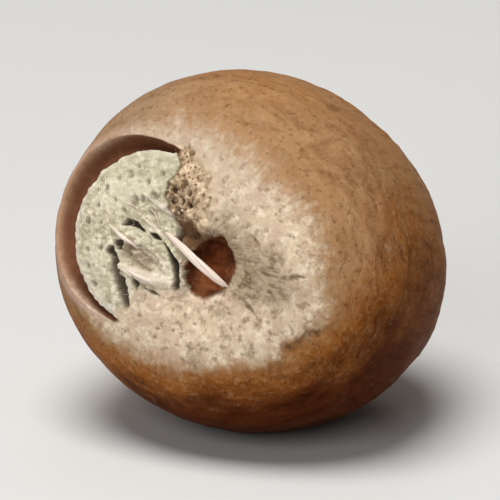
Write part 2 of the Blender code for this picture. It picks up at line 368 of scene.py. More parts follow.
def gradient_noise(points, seed):
    """Smooth noise of about -1 to 1. Each corner of a point's unit cell has a drawn arrow. The
    arrows' products with the steps from their corners are blended by 6t^5 - 15t^4 + 10t^3."""
    cell = np.floor(points).astype(int)
    local = points - cell
    fade = local**3 * (local * (local * 6.0 - 15.0) + 10.0)
    total = np.zeros(points.shape[:-1])
    for corner in np.ndindex(2, 2, 2):
        step = np.array(corner)
        arrow = lattice_draw(cell + step, seed, 3) * 2.0 - 1.0
        weight = np.where(step == 1, fade, 1.0 - fade).prod(axis=-1)
        total += weight * (arrow * (local - step)).sum(axis=-1)
    return total * 1.6


def fractal_noise(points, size, octaves, seed):
    """Layers of gradient noise, each with half the size and half the strength of the last."""
    total = np.zeros(points.shape[:-1])
    for layer in range(octaves):
        total += gradient_noise(points * (2.0**layer / size), seed + layer) * 0.5**layer
    return total


def nearest_dot(points, size, seed):
    """Distance to the nearest of the dots drawn one to a cell of this size, and that dot's own
    number from 0 to 1. The 27 cells round each point are searched."""
    scaled = points / size
    cell = np.floor(scaled).astype(int)
    nearest = np.full(points.shape[:-1], 9.0)
    number = np.zeros(points.shape[:-1])
    for offset in np.ndindex(3, 3, 3):
        there = cell + np.array(offset) - 1
        drawn = lattice_draw(there, seed, 4)
        distance = np.linalg.norm(scaled - there - drawn[..., :3], axis=-1)
        closer = distance < nearest
        nearest = np.where(closer, distance, nearest)
        number = np.where(closer, drawn[..., 3], number)
    return nearest * size, number


def scattered(flat, dots, ragged=None):
    """1 at the middle of each dot of a set and 0 outside: a smooth step of the distance over the
    dot's own radius. Rims are made uneven by noise of the seed `ragged`."""
    spacing, seed, least, spread, left_out, full = dots
    distance, number = nearest_dot(flat, spacing, seed)
    if ragged is not None:
        distance = distance + 0.05 * fractal_noise(flat, 0.3, 2, ragged)
    return smoothstep(1.0, full, distance / (least + spread * number)) * (number > left_out)


def full_turn(count):
    """Angles spread evenly round a circle."""
    return np.linspace(0.0, 2.0 * math.pi, count, endpoint=False)


def to_points(*coordinates):
    """Points from their coordinates, which may have different shapes."""
    return np.stack(np.broadcast_arrays(*coordinates), axis=-1)


def flat_points(right, up):
    """Places of the base map as points in space, for the noises."""
    return to_points(right, up, 0.0)


def distance_from(right, up, centre):
    """Distance on the base map from a centre."""
    return np.hypot(right - centre[0], up - centre[1])


def turned_places(right, up, centre, turn):
    """How far a place is from a centre, along an axis turned by this much and across it."""
    right, up = right - centre[0], up - centre[1]
    cos, sin = math.cos(turn), math.sin(turn)
    return right * cos + up * sin, up * cos - right * sin


def read_edge(edge, first):
    """The second number of an edge's places, read off between them by the first."""
    firsts, seconds = np.array(edge).T
    return np.interp(first, firsts, seconds)


def distance_to_line(right, up, places):
    """Distance from each place to a bent line, and how far along it the nearest point is, 0 to 1:
    the smallest distance to any of its segments."""
    knots = np.array(places, float)
    nearest = np.full(np.shape(right), 99.0)
    along = np.zeros(np.shape(right))
    for index, (start, end) in enumerate(zip(knots, knots[1:])):
        step = end - start
        share = ((right - start[0]) * step[0] + (up - start[1]) * step[1]) / (step @ step)
        share = np.clip(share, 0.0, 1.0)
        distance = np.hypot(right - start[0] - share * step[0], up - start[1] - share * step[1])
        closer = distance < nearest
        nearest = np.where(closer, distance, nearest)
        along = np.where(closer, (index + share) / (len(knots) - 1), along)
    return nearest, along


def ray_to_circle(rays, start, centre, radius):
    """How far a unit ray from a start inside a circle goes before it meets the circle."""
    offset = np.array(centre) - np.array(start)
    ahead = rays @ offset
    return ahead + np.sqrt(np.maximum(ahead**2 - offset @ offset + radius**2, 0.0))


def smooth_path(knots, stations):
    """A Catmull-Rom curve: between two knots, the cubic whose slope at each is half the step
    between the knots on either side of it."""
    knots = np.array(knots, float)
    padded = np.concatenate([2 * knots[:1] - knots[1:2], knots, 2 * knots[-1:] - knots[-2:-1]])
    travel = np.linspace(0.0, len(knots) - 1.0, stations)
    index = np.minimum(travel.astype(int), len(knots) - 2)
    t = (travel - index)[:, None]
    before, here, there, beyond = (padded[index + shift] for shift in range(4))
    bend = 2 * before - 5 * here + 4 * there - beyond
    twist = -before + 3 * here - 3 * there + beyond
    return 0.5 * (2 * here + (there - before) * t + bend * t**2 + twist * t**3)


# ---------------------------------------------------------------- the body


def map_direction(right, up):
    """The unit direction from the body's centre to a place: the angle from the base's pole is the
    place's distance on the map over MAP_RADIUS."""
    angle = np.hypot(right, up) / MAP_RADIUS
    turn = np.arctan2(up, right)
    across = np.sin(angle)
    return to_points(across * np.cos(turn), across * np.sin(turn), np.cos(angle))


def plain_radius(direction, shape):
    """Distance to the plain body, (|across / half width|^n + |along / depth|^n)^(-1/n). Depth and n
    go from the dome's to the base's over a band round the widest ring."""
    along = direction[..., 2]
    across = np.hypot(direction[..., 0], direction[..., 1])
    base_share = smoothstep(-0.3, 0.3, along)
    depth = blend(shape.dome_depth, shape.base_depth, base_share) / MM
    power = blend(DOME_SQUARENESS, BASE_SQUARENESS, base_share)
    reach = (across / (shape.width / MM / 2)) ** power + (np.abs(along) / depth) ** power
    return reach ** (-1.0 / power)


def swells(direction, shape):
    """The dried body's slow swells: a sum of sine waves through space, each with a drawn heading,
    length and phase, read on a ball as wide as the nut."""
    draw = np.random.default_rng(SWELL_SEED)
    height = np.zeros(direction.shape[:-1])
    for _ in range(SWELL_COUNT):
        heading = draw.normal(size=3)
        heading /= np.linalg.norm(heading)
        length = draw.uniform(*SWELL_LENGTHS)
        phase = draw.uniform(0.0, 2.0 * math.pi)
        travel = (shape.width / MM / 2) * (direction @ heading) / length
        height += np.sin(2.0 * math.pi * travel + phase)
    return SWELL_HEIGHT * height


def scar_reach(right, up, shape):
    """Distance from the scar's centre over the scar's radius."""
    return distance_from(right, up, SCAR_CENTRE) / (shape.scar_radius / MM)


def broad_relief(right, up, shape):
    """The base's broad forms: a Gaussian funnel round the pit, a parabolic crown on the scar, and
    a Gaussian lip along the far side of the gap."""
    funnel = shape.funnel_depth / MM * bell(distance_from(right, up, PIT_CENTRE), FUNNEL_RADIUS)
    crown = SCAR_CROWN * np.clip(1.0 - scar_reach(right, up, shape) ** 2, 0.0, 1.0)
    past_gap = distance_from(right, up, GAP_CENTRE) - GAP_RADIUS
    far_side = smoothstep(0.0, -5.0, right - GAP_CENTRE[0])
    lip = shape.lip_height / MM * far_side * bell(past_gap, LIP_WIDTH)
    return crown - funnel + lip


def nut_points(right, up, height, shape):
    """Points of the body in its own frame, in millimetres. Each is lifted along its direction by
    the swells, the broad relief and this height, then squeezed along the section's short axis."""
    direction = map_direction(right, up)
    radius = plain_radius(direction, shape) + swells(direction, shape)
    radius = radius + broad_relief(right, up, shape) + height
    points = radius[..., None] * direction
    short_axis = np.array([math.cos(OVAL_TURN), math.sin(OVAL_TURN), 0.0])
    return points - (1.0 - shape.oval) * (points @ short_axis)[..., None] * short_axis


def turn_down(points, shape):
    """The lying nut, in metres: its own right, up and out become +X, up leant back by the tilt,
    and -Y raised by the tilt."""
    up = np.array([0.0, math.sin(shape.tilt), math.cos(shape.tilt)])
    out = np.array([0.0, -math.cos(shape.tilt), math.sin(shape.tilt)])
    right = np.array([1.0, 0.0, 0.0])
    return (points[..., :1] * right + points[..., 1:2] * up + points[..., 2:] * out) * MM


def lay_down(points, shape):
    """Puts the nut's points into the model's frame. The plain body is centred on the CAD solid
    across and along, with its top at the solid's top, and what would pass below the floor is worn
    flat there."""
    rows, columns = MEASURED_GRID
    distance, turn = np.meshgrid(
        np.linspace(0.0, POLE_TO_APEX, rows), np.linspace(0.0, 2.0 * math.pi, columns)
    )
    right, up = distance * np.cos(turn), distance * np.sin(turn)
    body = turn_down(nut_points(right, up, np.zeros_like(right), shape), shape)
    low, high = body.min(axis=(0, 1)), body.max(axis=(0, 1))
    shift = (CAD_LOW + CAD_HIGH) / 2 - (low + high) / 2
    shift[2] = CAD_HIGH[2] - high[2]
    placed = turn_down(points, shape) + shift
    placed[..., 2] = np.maximum(placed[..., 2], CAD_LOW[2])
    return placed


# ---------------------------------------------------------------- the base


def above_lower_edge(right, up):
    """How far a place is above the line on which the scar's tissue ends below, made uneven by
    noise."""
    uneven = 0.3 * fractal_noise(flat_points(right, up), 1.6, 2, 45)
    return up - read_edge(LOWER_EDGE, right) + uneven


def torn_share(right, up):
    """1 on the tissue's side of its torn edge, TORN_EDGE made ragged by noise, and 0 past it."""
    ragged = 0.22 * fractal_noise(flat_points(right, up), 1.0, 3, 41)
    inside = read_edge(TORN_EDGE, up) - right + ragged
    softness = 0.07 + 0.6 * smoothstep(-3.2, -4.6, up)
    return smoothstep(-softness, softness, inside)


def scar_cover(right, up):
    """1 where the corky tissue lies and 0 past its edges. Below the pit and on the pale ring it
    ends softly."""
    return torn_share(right, up) * smoothstep(-0.5, 0.4, above_lower_edge(right, up))


def gap_form(right, up, shape):
    """The crescent gap at each place: its depth there, and how far across it the place is, 0 at
    the scar's edge and 1 at the gap's outer edge."""
    rays = to_points(right - SCAR_CENTRE[0], up - SCAR_CENTRE[1])
    reach = np.maximum(np.linalg.norm(rays, axis=-1), 1e-6)
    rays = rays / reach[..., None]
    scar_radius = shape.scar_radius / MM
    outer = ray_to_circle(rays, SCAR_CENTRE, GAP_CENTRE, GAP_RADIUS)
    width = outer - scar_radius
    edge = gap_outer_edge(outer, scar_radius)
    depth = shape.gap_depth / MM * smoothstep(0.0, 0.6, width)
    return depth, (reach - scar_radius) / (edge - scar_radius)


def gap_outer_edge(outer, scar_radius):
    """The larger of the gap's circle and a narrow strip round the scar, with the corner between
    them rounded: half of a + b + sqrt((a - b)^2 + k^2)."""
    strip = scar_radius + NARROWEST_GAP
    return 0.5 * (outer + strip + np.sqrt((outer - strip) ** 2 + 0.12**2))


def hollow_depth(right, up, shape):
    """How far the skin is sunk: across the gap by the gap's depth, up to its outer wall, and under
    the tissue by UNDER_DEPTH, well inside its edges, so that the tissue hides it."""
    depth, across = gap_form(right, up, shape)
    gap = depth * (1.0 - smoothstep(*GAP_WALL, across))
    under = UNDER_DEPTH * smoothstep(0.75, 1.0, scar_cover(right, up))
    sunk = np.where(across < 0.0, blend(gap, under, smoothstep(0.0, -0.8, across)), gap)
    rough = 0.12 * fractal_noise(flat_points(right, up), 0.8, 2, 3)
    return sunk - rough * smoothstep(0.0, 0.5, sunk)


def inside_ring(right, up):
    """How far a place is inside the pale ring's border, and the border's softness there. The
    border is HALO_EDGE, made uneven by noise."""
    turn = np.degrees(np.arctan2(up - HALO_CENTRE[1], right - HALO_CENTRE[0]))
    turns, radii, softnesses = np.array(HALO_EDGE).T
    inside = np.interp(turn, turns, radii) - distance_from(right, up, HALO_CENTRE)
    inside = inside + 0.3 * fractal_noise(flat_points(right, up), 1.8, 3, 23)
    return inside, np.interp(turn, turns, softnesses)


def pit_shares(right, up):
    """1 at the bottom of the germ pit and 0 outside its rim: the hollow (1 - d^2)^0.6, where d is
    1 on a turned ellipse and is made uneven by noise. It is deeper towards the upper left. Also the
    border round it, which fades outward from the rim and is painted brown, partly as painted shade."""
    long_way, short_way = turned_places(right, up, PIT_CENTRE, PIT_TURN)
    distance = np.hypot(long_way / PIT_LONG, short_way / PIT_SHORT)
    distance = distance + 0.10 * fractal_noise(flat_points(right, up), 1.3, 3, 52)
    upper_left = 0.5 * (up - PIT_CENTRE[1]) - (right - PIT_CENTRE[0])
    lean = 1.0 + 0.4 * np.clip(upper_left / PIT_LONG, -1.0, 1.0)
    return lean * np.clip(1.0 - distance**2, 0.0, 1.0) ** 0.6, smoothstep(1.4, 0.98, distance)


def pit_hollow(right, up):
    """1 along the hollow that leads from the crumbled strip down into the pit, which the finish
    darkens as painted shade.
    """
    distance, _ = distance_to_line(right, up, HOLLOW_LINE)
    distance = distance + 0.35 * fractal_noise(flat_points(right, up), 0.9, 3, 57)
    return smoothstep(1.6, 0.3, distance)


def crumble_shares(right, up):
    """1 on the crumbled strip between the scar's torn side and the pale ring, and 1 along the
    side of it that is next to the scar."""
    near = right - read_edge(TORN_EDGE, up)
    ragged = 0.5 * fractal_noise(flat_points(right, up), 1.2, 3, 61)
    far = read_edge(CRUMBLE_EDGE, up) - right + ragged
    ends = smoothstep(0.2, 1.2, up) * smoothstep(8.1, 7.2, up)
    strip = smoothstep(-0.4, 0.1, near) * smoothstep(-0.6, 0.6, far) * ends
    return strip, smoothstep(2.6, 0.8, near) * blend(0.55, 1.0, smoothstep(5.9, 4.9, up))


def line_marks(right, up, lines, rough=0.08):
    """The depth that a set of bent lines cuts at each place, and the share of dark that they
    leave: a rounded groove along each, which narrows towards its ends. Its width changes along it
    by the millimetres `rough`."""
    wobble = rough * fractal_noise(flat_points(right, up), 1.1, 3, 71)
    depth = np.zeros(np.shape(right))
    dark = np.zeros(np.shape(right))
    for places, width, deepest in lines:
        distance, along = distance_to_line(right, up, places)
        narrowing = 0.35 + 0.65 * np.sin(math.pi * np.clip(along, 0.04, 0.96))
        distance = distance / np.maximum(width / 2 * narrowing + wobble / 2, 0.05)
        depth = np.maximum(depth, deepest * smoothstep(1.0, 0.3, distance))
        dark = np.maximum(dark, smoothstep(1.1, 0.5, distance))
    return depth, dark


def round_marks(right, up, places):
    """1 at the middle of each round mark (right, up, radius) and 0 outside, with uneven rims."""
    wobble = 0.45 * fractal_noise(flat_points(right, up), 0.45, 2, 83)
    share = np.zeros(np.shape(right))
    for mark_right, mark_up, radius in places:
        distance = np.hypot(right - mark_right, (up - mark_up) * 0.8) / radius + wobble
        share = np.maximum(share, smoothstep(1.3, 0.2, distance))
    return share


def skin_relief(right, up, shape):
    """Height of the skin's relief above the gap and the hollow under the scar, and the shares and
    vectors that its finish needs, by name."""
    direction = map_direction(right, up)
    solid = plain_radius(direction, shape)[..., None] * direction
    from_pole = np.hypot(right, up)
    from_apex = POLE_TO_APEX - from_pole
    turn = np.arctan2(up, right)
    flat = flat_points(right, up)

    # The pale ring: a thin grainy layer with small beads and pocks.
    inside, softness = inside_ring(right, up)
    halo = smoothstep(-softness, softness, inside)
    pock, grit = scattered(flat, POCKS), scattered(flat, GRIT)
    ring = RING_THICKNESS + RING_GRAIN * fractal_noise(flat, 0.8, 3, 29)
    ring = ring + GRIT_HEIGHT * grit - POCK_DEPTH * pock

    # The brown skin: lumps, wrinkles along wavy rings round the base, and veins up the dome.
    lumps = LUMP_HEIGHT * fractal_noise(solid, 5.0, 3, 5)
    wavy = from_pole + 0.5 * fractal_noise(solid, 4.0, 3, 15)
    rings = to_points(wavy, 2.1 * np.cos(turn), 2.1 * np.sin(turn))
    sunny = direction[..., 1] - 0.28 * direction[..., 0]
    reach = 1.6 + 0.5 * smoothstep(-6.0, -2.0, up)
    reach = reach + 1.9 * smoothstep(2.0, 8.0, right) * smoothstep(-4.0, 0.0, up)
    # The collar: golden skin next to the pale ring, partly its own colour and partly painted light.
    collar = np.exp(-((np.clip(-inside, 0.0, None) / reach) ** 1.5))
    band = smoothstep(8.2, 9.8, from_pole) * smoothstep(19.0, 13.0, from_pole)
    streaky = band * blend(0.6, 1.0, smoothstep(0.7, -0.3, sunny)) * (1.0 - 0.55 * collar)
    wrinkle = WRINKLE_HEIGHT * fractal_noise(rings, 0.85, 3, 43) * streaky
    grain = to_points(14.0 * np.cos(turn), 14.0 * np.sin(turn), 0.3 * from_pole)
    dome = smoothstep(12.0, 18.0, from_pole)
    vein = 1.0 - 2.2 * np.abs(fractal_noise(grain, 2.6, 3, 37))
    skin = lumps + wrinkle + VEIN_HEIGHT * dome * vein
    height = blend(skin, ring + lumps, halo) + APEX_HEIGHT * bell(from_apex, APEX_RADIUS)

    # The crumbled strip, the cracks, the hollow and the pit.
    crumble, inner = crumble_shares(right, up)
    bead = scattered(flat, STRIP_BEADS)
    hole = 0.6 * scattered(flat, STRIP_HOLES) * inner
    hole = np.maximum(hole, round_marks(right, up, HOLES))
    strip = STRIP_GRAIN * fractal_noise(flat, 0.8, 3, 9) + STRIP_BEAD_HEIGHT * bead
    strip = strip - STRIP_DEPTH - STRIP_INNER_DEPTH * inner - HOLE_DEPTH * hole
    pit, brim = pit_shares(right, up)
    hollow = pit_hollow(right, up)
    crack_depth, crack = line_marks(right, up, CRACKS, MARK_ROUGHNESS)
    streak_depth, streak = line_marks(right, up, STREAKS_AND_SHADE_BAND, MARK_ROUGHNESS)
    height = blend(height, strip, crumble) - crack_depth - streak_depth - HOLLOW_DEPTH * hollow
    uneven = 1.0 + 0.12 * fractal_noise(solid, 0.9, 2, 47)
    height = height - shape.pit_depth / MM * pit * uneven

    # What only the finish needs: the stain, the gap's walls, the lip and the tone. The tone is
    # painted light and shade: lighter on the upper side and darker on the lower and right sides,
    # and golden next to the pale ring, partly the skin's own colour and partly painted light.
    stain_right = (right - STAIN_CENTRE[0]) / STAIN_REACH[0]
    stain_up = (up - STAIN_CENTRE[1]) / STAIN_REACH[1]
    stain = np.hypot(stain_right, stain_up) + 0.5 * fractal_noise(flat, 2.0, 3, 67)
    round_pit = smoothstep(6.6, 3.0, distance_from(right, up, PIT_CENTRE))
    round_pit = 0.7 * round_pit * smoothstep(-3.0, 0.5, up)
    depth, across = gap_form(right, up, shape)
    wall_top = 0.93 + 0.06 * smoothstep(-8.5, -5.5, right)
    in_gap = smoothstep(0.0, 0.35, depth) * smoothstep(wall_top + 0.04, wall_top - 0.04, across)
    lip = bell(across - 1.25, 0.3) * smoothstep(0.4, 1.0, depth) * smoothstep(9.0, 4.0, up)
    sunny = sunny + 0.15 * fractal_noise(solid, 6.0, 3, 73)
    # Painted shadow on the far right side.
    right_shade = 0.18 * smoothstep(0.7, 1.0, direction[..., 0])
    shares = {
        "halo": halo,
        "crumble": crumble,
        "inner": inner,
        "hole": hole * crumble,
        "pit": pit,
        "brim": brim * smoothstep(-3.5, 1.0, up),
        "hollow": hollow,
        "gap": in_gap * smoothstep(-0.6, -0.3, across),
        "lip": lip,
        "crack": np.maximum(crack, SPOT_DARK * round_marks(right, up, SPOTS)),
        "streak": streak,
        "stain": np.maximum(smoothstep(3.7, 0.7, stain), round_pit),
        "streaky": streaky,
        # The tone: painted light on the upper side and painted shade on the lower and right sides,
        # with random swings.
        "tone": np.clip(0.59 + 0.62 * sunny - right_shade, 0.0, 0.77) + 0.7 * collar,
        "upper_left_grey": bell(distance_from(right, up, UPPER_LEFT_GREY_CENTRE), UPPER_LEFT_GREY_RADIUS),
        "apex": smoothstep(4.5, 0.5, from_apex),
        "dome": dome,
        "bead": np.maximum(bead * crumble, grit * halo * (1.0 - crumble)),
        "pock": pock * halo,
        # Painted shade on the upper part of the pale ring.
        "darker_above": smoothstep(2.5, 9.0, up),
    }
    return height, shares, {"grain": grain, "rings": rings}


def pocket_places(right, up):
    """How far a place is from the torn pocket's centre, along the pocket's threads and across
    them, and how far out in the pocket it is, 1 on its border."""
    along, across = turned_places(right, up, POCKET_CENTRE, POCKET_TURN)
    return along, across, np.hypot(along / POCKET_SIZE[0], across / POCKET_SIZE[1])


def scar_relief(right, up, shape):
    """Height of the corky tissue over the broad body, and the shares that its finish needs. Near
    its lower end it follows the pale ring's own relief."""
    flat = flat_points(right, up)
    free_rim = smoothstep(0.1, 0.6, gap_form(right, up, shape)[0])
    from_centre = scar_reach(right, up, shape)
    merge = above_lower_edge(right, up) + 0.6 * fractal_noise(flat, 0.9, 3, 39)
    merge = smoothstep(2.2, 0.2, merge)

    slit_depth, slit = line_marks(right, up, SLITS, SLIT_ROUGHNESS)
    slit = smoothstep(0.0, 0.8, slit)
    large_pore = round_marks(right, up, PORES)
    fine_pore = scattered(flat, FINE_PORES, 93)
    bead = scattered(flat, BEADS, 99)
    along, across, pocket = pocket_places(right, up)
    pocket = smoothstep(1.15, 0.35, pocket + 0.2 * fractal_noise(flat, 0.8, 3, 91))
    thread = fractal_noise(flat_points(0.25 * along, across), 0.42, 3, 95)
    ridge_height, ridge = line_marks(right, up, RIDGES)
    furrow = fractal_noise(flat_points(right + up, 0.25 * (right - up)), 0.35, 2, 113)
    _, light = line_marks(right, up, PALE_BANDS)

    height = CORK_LUMPS * fractal_noise(flat, 1.6, 3, 101)
    height = height + CORK_GRAIN * fractal_noise(flat, 0.45, 2, 107)
    height = height + BEAD_HEIGHT * bead - FINE_PORE_DEPTH * fine_pore * (1.0 - 0.7 * ridge)
    height = height - (POCKET_DEPTH - THREAD_HEIGHT * thread) * pocket
    height = height + ridge_height + FURROW_DEPTH * furrow * ridge
    height = height - PORE_DEPTH * large_pore
    height = height - RIM_DROP * free_rim * smoothstep(0.94, 1.0, from_centre)
    height = blend(height, skin_relief(right, up, shape)[0] + 0.03, merge)
    open_slit = smoothstep(1.0, 0.5, merge)
    height = height - slit_depth * (1.0 + 0.4 * ridge) * open_slit
    rim = smoothstep(0.88, 0.97, from_centre) * free_rim
    shares = {
        # Painted shade in the fine pores and the slits.
        "pore_and_slit_shade": np.maximum(0.4 * fine_pore * (1.0 - merge), slit * open_slit),
        "stain": 0.5 * round_marks(right, up, SPOTS),
        "spot": large_pore * (1.0 - 0.5 * merge),
        "bead": bead,
        # The torn pocket's brown, partly painted shade in its recess.
        "pocket": pocket * (0.75 - 0.6 * thread),
        "ridge": ridge * (1.0 - merge),
        # Painted highlight along the tissue's rim by the gap, weaker above.
        "rim": rim * blend(1.0, 0.35, smoothstep(1.0, 5.0, up)),
        "light": light,
        "merge": merge,
        # Darker towards the top of the tissue.
        "darker_above": smoothstep(-0.5, 5.5, up),
        # Painted shade on the tissue's torn wall above the pit.
        "wall": smoothstep(0.98, 0.55, torn_share(right, up)) * smoothstep(-3.9, -3.1, up),
    }
    return height, shares


def top_height(right, up, shape):
    """Height of what is on top at each place, the tissue or the skin."""
    cover = scar_cover(right, up)
    return blend(skin_relief(right, up, shape)[0], scar_relief(right, up, shape)[0], cover)


# ---------------------------------------------------------------- meshes


def select_points(grid):
    """The points of closed forms from a (forms, rows, columns, ...) grid. The first and last rows
    are poles, and one point of each is kept, after the rings."""
    forms = grid.shape[0]
    tail = grid.shape[3:]
    rings = grid[:, 1:-1].reshape((forms, -1) + tail)
    return np.concatenate([rings, grid[:, 0, :1], grid[:, -1, :1]], axis=1)


def form_faces(rings, columns):
    """Four-sided faces between neighbouring rings, and three-sided ones from the end rings to the
    poles, as point numbers of one form."""
    column = np.arange(columns)
    after = (column + 1) % columns
    here = np.arange(rings - 1)[:, None] * columns
    there = here + columns
    quads = np.stack([here + column, here + after, there + after, there + column], axis=-1)
    first_pole = rings * columns
    last = (rings - 1) * columns
    start = np.stack([np.full(columns, first_pole), after, column], axis=-1)
    end = np.stack([np.full(columns, first_pole + 1), last + column, last + after], axis=-1)
    return quads.reshape(-1, 4), np.concatenate([start, end])


def signed_volume(points, quads, triangles):
    """Six times the volume that the faces enclose, negative where they point inwards."""
    corners = np.concatenate([triangles, quads[:, :3], quads[:, [0, 2, 3]]])
    first, second, third = (points[corners[:, index]] for index in range(3))
    return (first * np.cross(second, third)).sum()


def add_object(name, data):
    """A new object of the scene."""
    thing = bpy.data.objects.new(name, data)
    bpy.context.scene.collection.objects.link(thing)
    return thing


def make_piece(name, grid, shares, vectors, material, replaced=()):
    """A mesh object of closed forms from a (forms, rows, columns, 3) grid in metres, with its
    shares and vectors kept as point attributes. It rides on the nut's body."""
    forms, rows, columns = grid.shape[:3]
    points = select_points(grid)
    quads, triangles = form_faces(rows - 2, columns)
    if signed_volume(points[0], quads, triangles) < 0.0:
        quads, triangles = quads[:, ::-1], triangles[:, ::-1]
    offsets = (np.arange(forms) * points.shape[1])[:, None, None]
    faces = (quads + offsets).reshape(-1, 4).tolist()
    faces += (triangles + offsets).reshape(-1, 3).tolist()
    mesh = bpy.data.meshes.new(name)
    mesh.from_pydata(points.reshape(-1, 3).tolist(), [], faces)
    for named, kind, field in ((shares, "FLOAT", "value"), (vectors, "FLOAT_VECTOR", "vector")):
        for label, values in named.items():
            layer = mesh.attributes.new(label, kind, "POINT")
            layer.data.foreach_set(field, select_points(values).astype(np.float32).ravel())
    mesh.shade_smooth()
    mesh.materials.append(material)
    piece = add_object(name, mesh)
    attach(piece, "root")
    if replaced:
        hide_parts(*replaced)
    return piece


def skin_grid(shape):
    """Places of the skin's grid. Its columns are rays from the scar's centre. Its rows are rings:
    to the scar's edge, across the gap with the last ones close together for its wall, out to a
    circle past the widest ring with steps that grow, and from there to the apex."""
    scar_radius = shape.scar_radius / MM
    far_circle = MAP_RADIUS * math.radians(125.0)
    turn = full_turn(SKIN_COLUMNS)
    rays = to_points(np.cos(turn), np.sin(turn))
    edge = gap_outer_edge(ray_to_circle(rays, SCAR_CENTRE, GAP_CENTRE, GAP_RADIUS), scar_radius)
    far = ray_to_circle(rays, SCAR_CENTRE, (0.0, 0.0), far_circle)

    inner = np.concatenate([np.linspace(0.0, 0.2, 8)[:-1], np.linspace(0.2, 1.0, 60)])
    crossing = np.concatenate([np.linspace(0.0, 0.80, 8)[1:], np.linspace(0.80, 1.0, 10)[1:]])
    travel = np.linspace(0.0, 1.0, 104)[1:]
    outward = (travel + 1.3 * travel**2) / 2.3
    reach = np.concatenate([
        inner[:, None] * scar_radius * np.ones_like(edge),
        scar_radius + crossing[:, None] * (edge - scar_radius),
        edge + outward[:, None] * (far - edge),
    ])
    right = SCAR_CENTRE[0] + reach * rays[:, 0]
    up = SCAR_CENTRE[1] + reach * rays[:, 1]

    last_turn = np.arctan2(up[-1], right[-1])
    beyond = np.linspace(far_circle, POLE_TO_APEX, 28)[1:, None]
    right = np.concatenate([right, beyond * np.cos(last_turn)])
    up = np.concatenate([up, beyond * np.sin(last_turn)])
    return right[None], up[None]


def make_skin(shape, finish):
    """The skin: one closed form over the whole nut, sunk across the gap and under the tissue."""
    right, up = skin_grid(shape)
    height, shares, vectors = skin_relief(right, up, shape)
    height = height - hollow_depth(right, up, shape)
    points = lay_down(nut_points(right, up, height, shape), shape)
    return make_piece("nut_skin", points, shares, vectors, skin_material(finish), ("nut",))


def make_scar(shape, finish):
    """The corky tissue: rings from the centre of its top to its edge, down its side, and back under
    it. Past its torn side it dips under the skin."""
    turn = full_turn(SCAR_COLUMNS)
    top_rows = np.concatenate([np.linspace(0.0, 0.985, 96), [0.991, 0.996, 0.999]])
    side_rows, under_rows = np.ones(8), np.linspace(0.96, 0.0, 25)
    rows = np.concatenate([top_rows, side_rows, under_rows])[:, None]
    circle = to_points(6.0 * np.cos(turn), 6.0 * np.sin(turn), 0.0)
    ragged = 0.05 * fractal_noise(circle, 0.7, 2, 5)
    drawn_in = 0.15 * np.clip(np.cos(turn - math.radians(135.0)), 0.0, 1.0) ** 3
    edge = shape.scar_radius / MM + ragged - drawn_in
    right = SCAR_CENTRE[0] + rows * edge * np.cos(turn)
    up = SCAR_CENTRE[1] + rows * edge * np.sin(turn)

    height, shares = scar_relief(right, up, shape)
    skin_height = skin_relief(right, up, shape)[0]
    dip = blend(0.5, 0.12, smoothstep(-3.0, -4.5, up))
    top = blend(skin_height - dip, height, scar_cover(right, up))
    underside = np.minimum(skin_height - hollow_depth(right, up, shape), top) - 0.35
    going_down = np.linspace(0.0, 1.0, len(side_rows) + 1)[1:]
    down = np.concatenate([np.zeros(len(top_rows)), going_down, np.ones(len(under_rows))])
    shares["side"] = down[:, None] * np.ones_like(top)
    height = blend(top, underside, shares["side"])
    shares = {label: values[None] for label, values in shares.items()}
    points = lay_down(nut_points(right, up, height, shape), shape)[None]
    return make_piece("scar_tissue", points, shares, {}, scar_material(finish))


def tube_grid(path, outward, half_widths, half_heights, sides, rough):
    """A strand along a path: each station's ring is an ellipse across the path, as wide and as high
    as given, with its radius changed by the share `rough`. The ends close to a point."""
    heading = np.gradient(path, axis=-2)
    heading /= np.linalg.norm(heading, axis=-1, keepdims=True)
    side = np.cross(heading, outward)
    side /= np.linalg.norm(side, axis=-1, keepdims=True)
    lift = np.cross(side, heading)
    turn = full_turn(sides)
    across = (half_widths[..., None] * np.cos(turn) * (1.0 + rough))[..., None]
    above = (half_heights[..., None] * np.sin(turn) * (1.0 + rough))[..., None]
    return path[..., None, :] + side[..., None, :] * across + lift[..., None, :] * above


def make_strands(shape, finish):
    """The thick husk strands: flattened tubes along smooth paths over the base, grooved along
    their length, with tapering ends."""
    stations, sides = 90, 28
    share = np.linspace(0.0, 1.0, stations)
    turn = full_turn(sides)
    grids, along, fibre = [], [], []
    for index, (knots, width, thickness) in enumerate(STRANDS):
        route = smooth_path(knots, stations)
        path = nut_points(route[:, 0], route[:, 1], route[:, 2], shape)
        outward = map_direction(route[:, 0], route[:, 1])
        taper = np.clip(np.sin(math.pi * share**1.25), 0.0, 1.0) ** 0.6
        lengthwise = (9.0 * index + 3.5 * share)[:, None]
        cylinder = to_points(2.6 * np.cos(turn), 2.6 * np.sin(turn), lengthwise)
        rough = 0.22 * fractal_noise(cylinder, 0.9, 2, 201)
        grid = tube_grid(path, outward, width / 2 * taper, thickness / 2 * taper, sides, rough)
        grids.append(lay_down(grid, shape))
        along.append(np.broadcast_to(share[:, None], (stations, sides)))
        fibre.append(cylinder)
    shares, vectors = {"along": np.stack(along)}, {"fibre": np.stack(fibre)}
    material = strand_material(finish, "husk strand")
    return make_piece("husk_strands", np.stack(grids), shares, vectors, material)


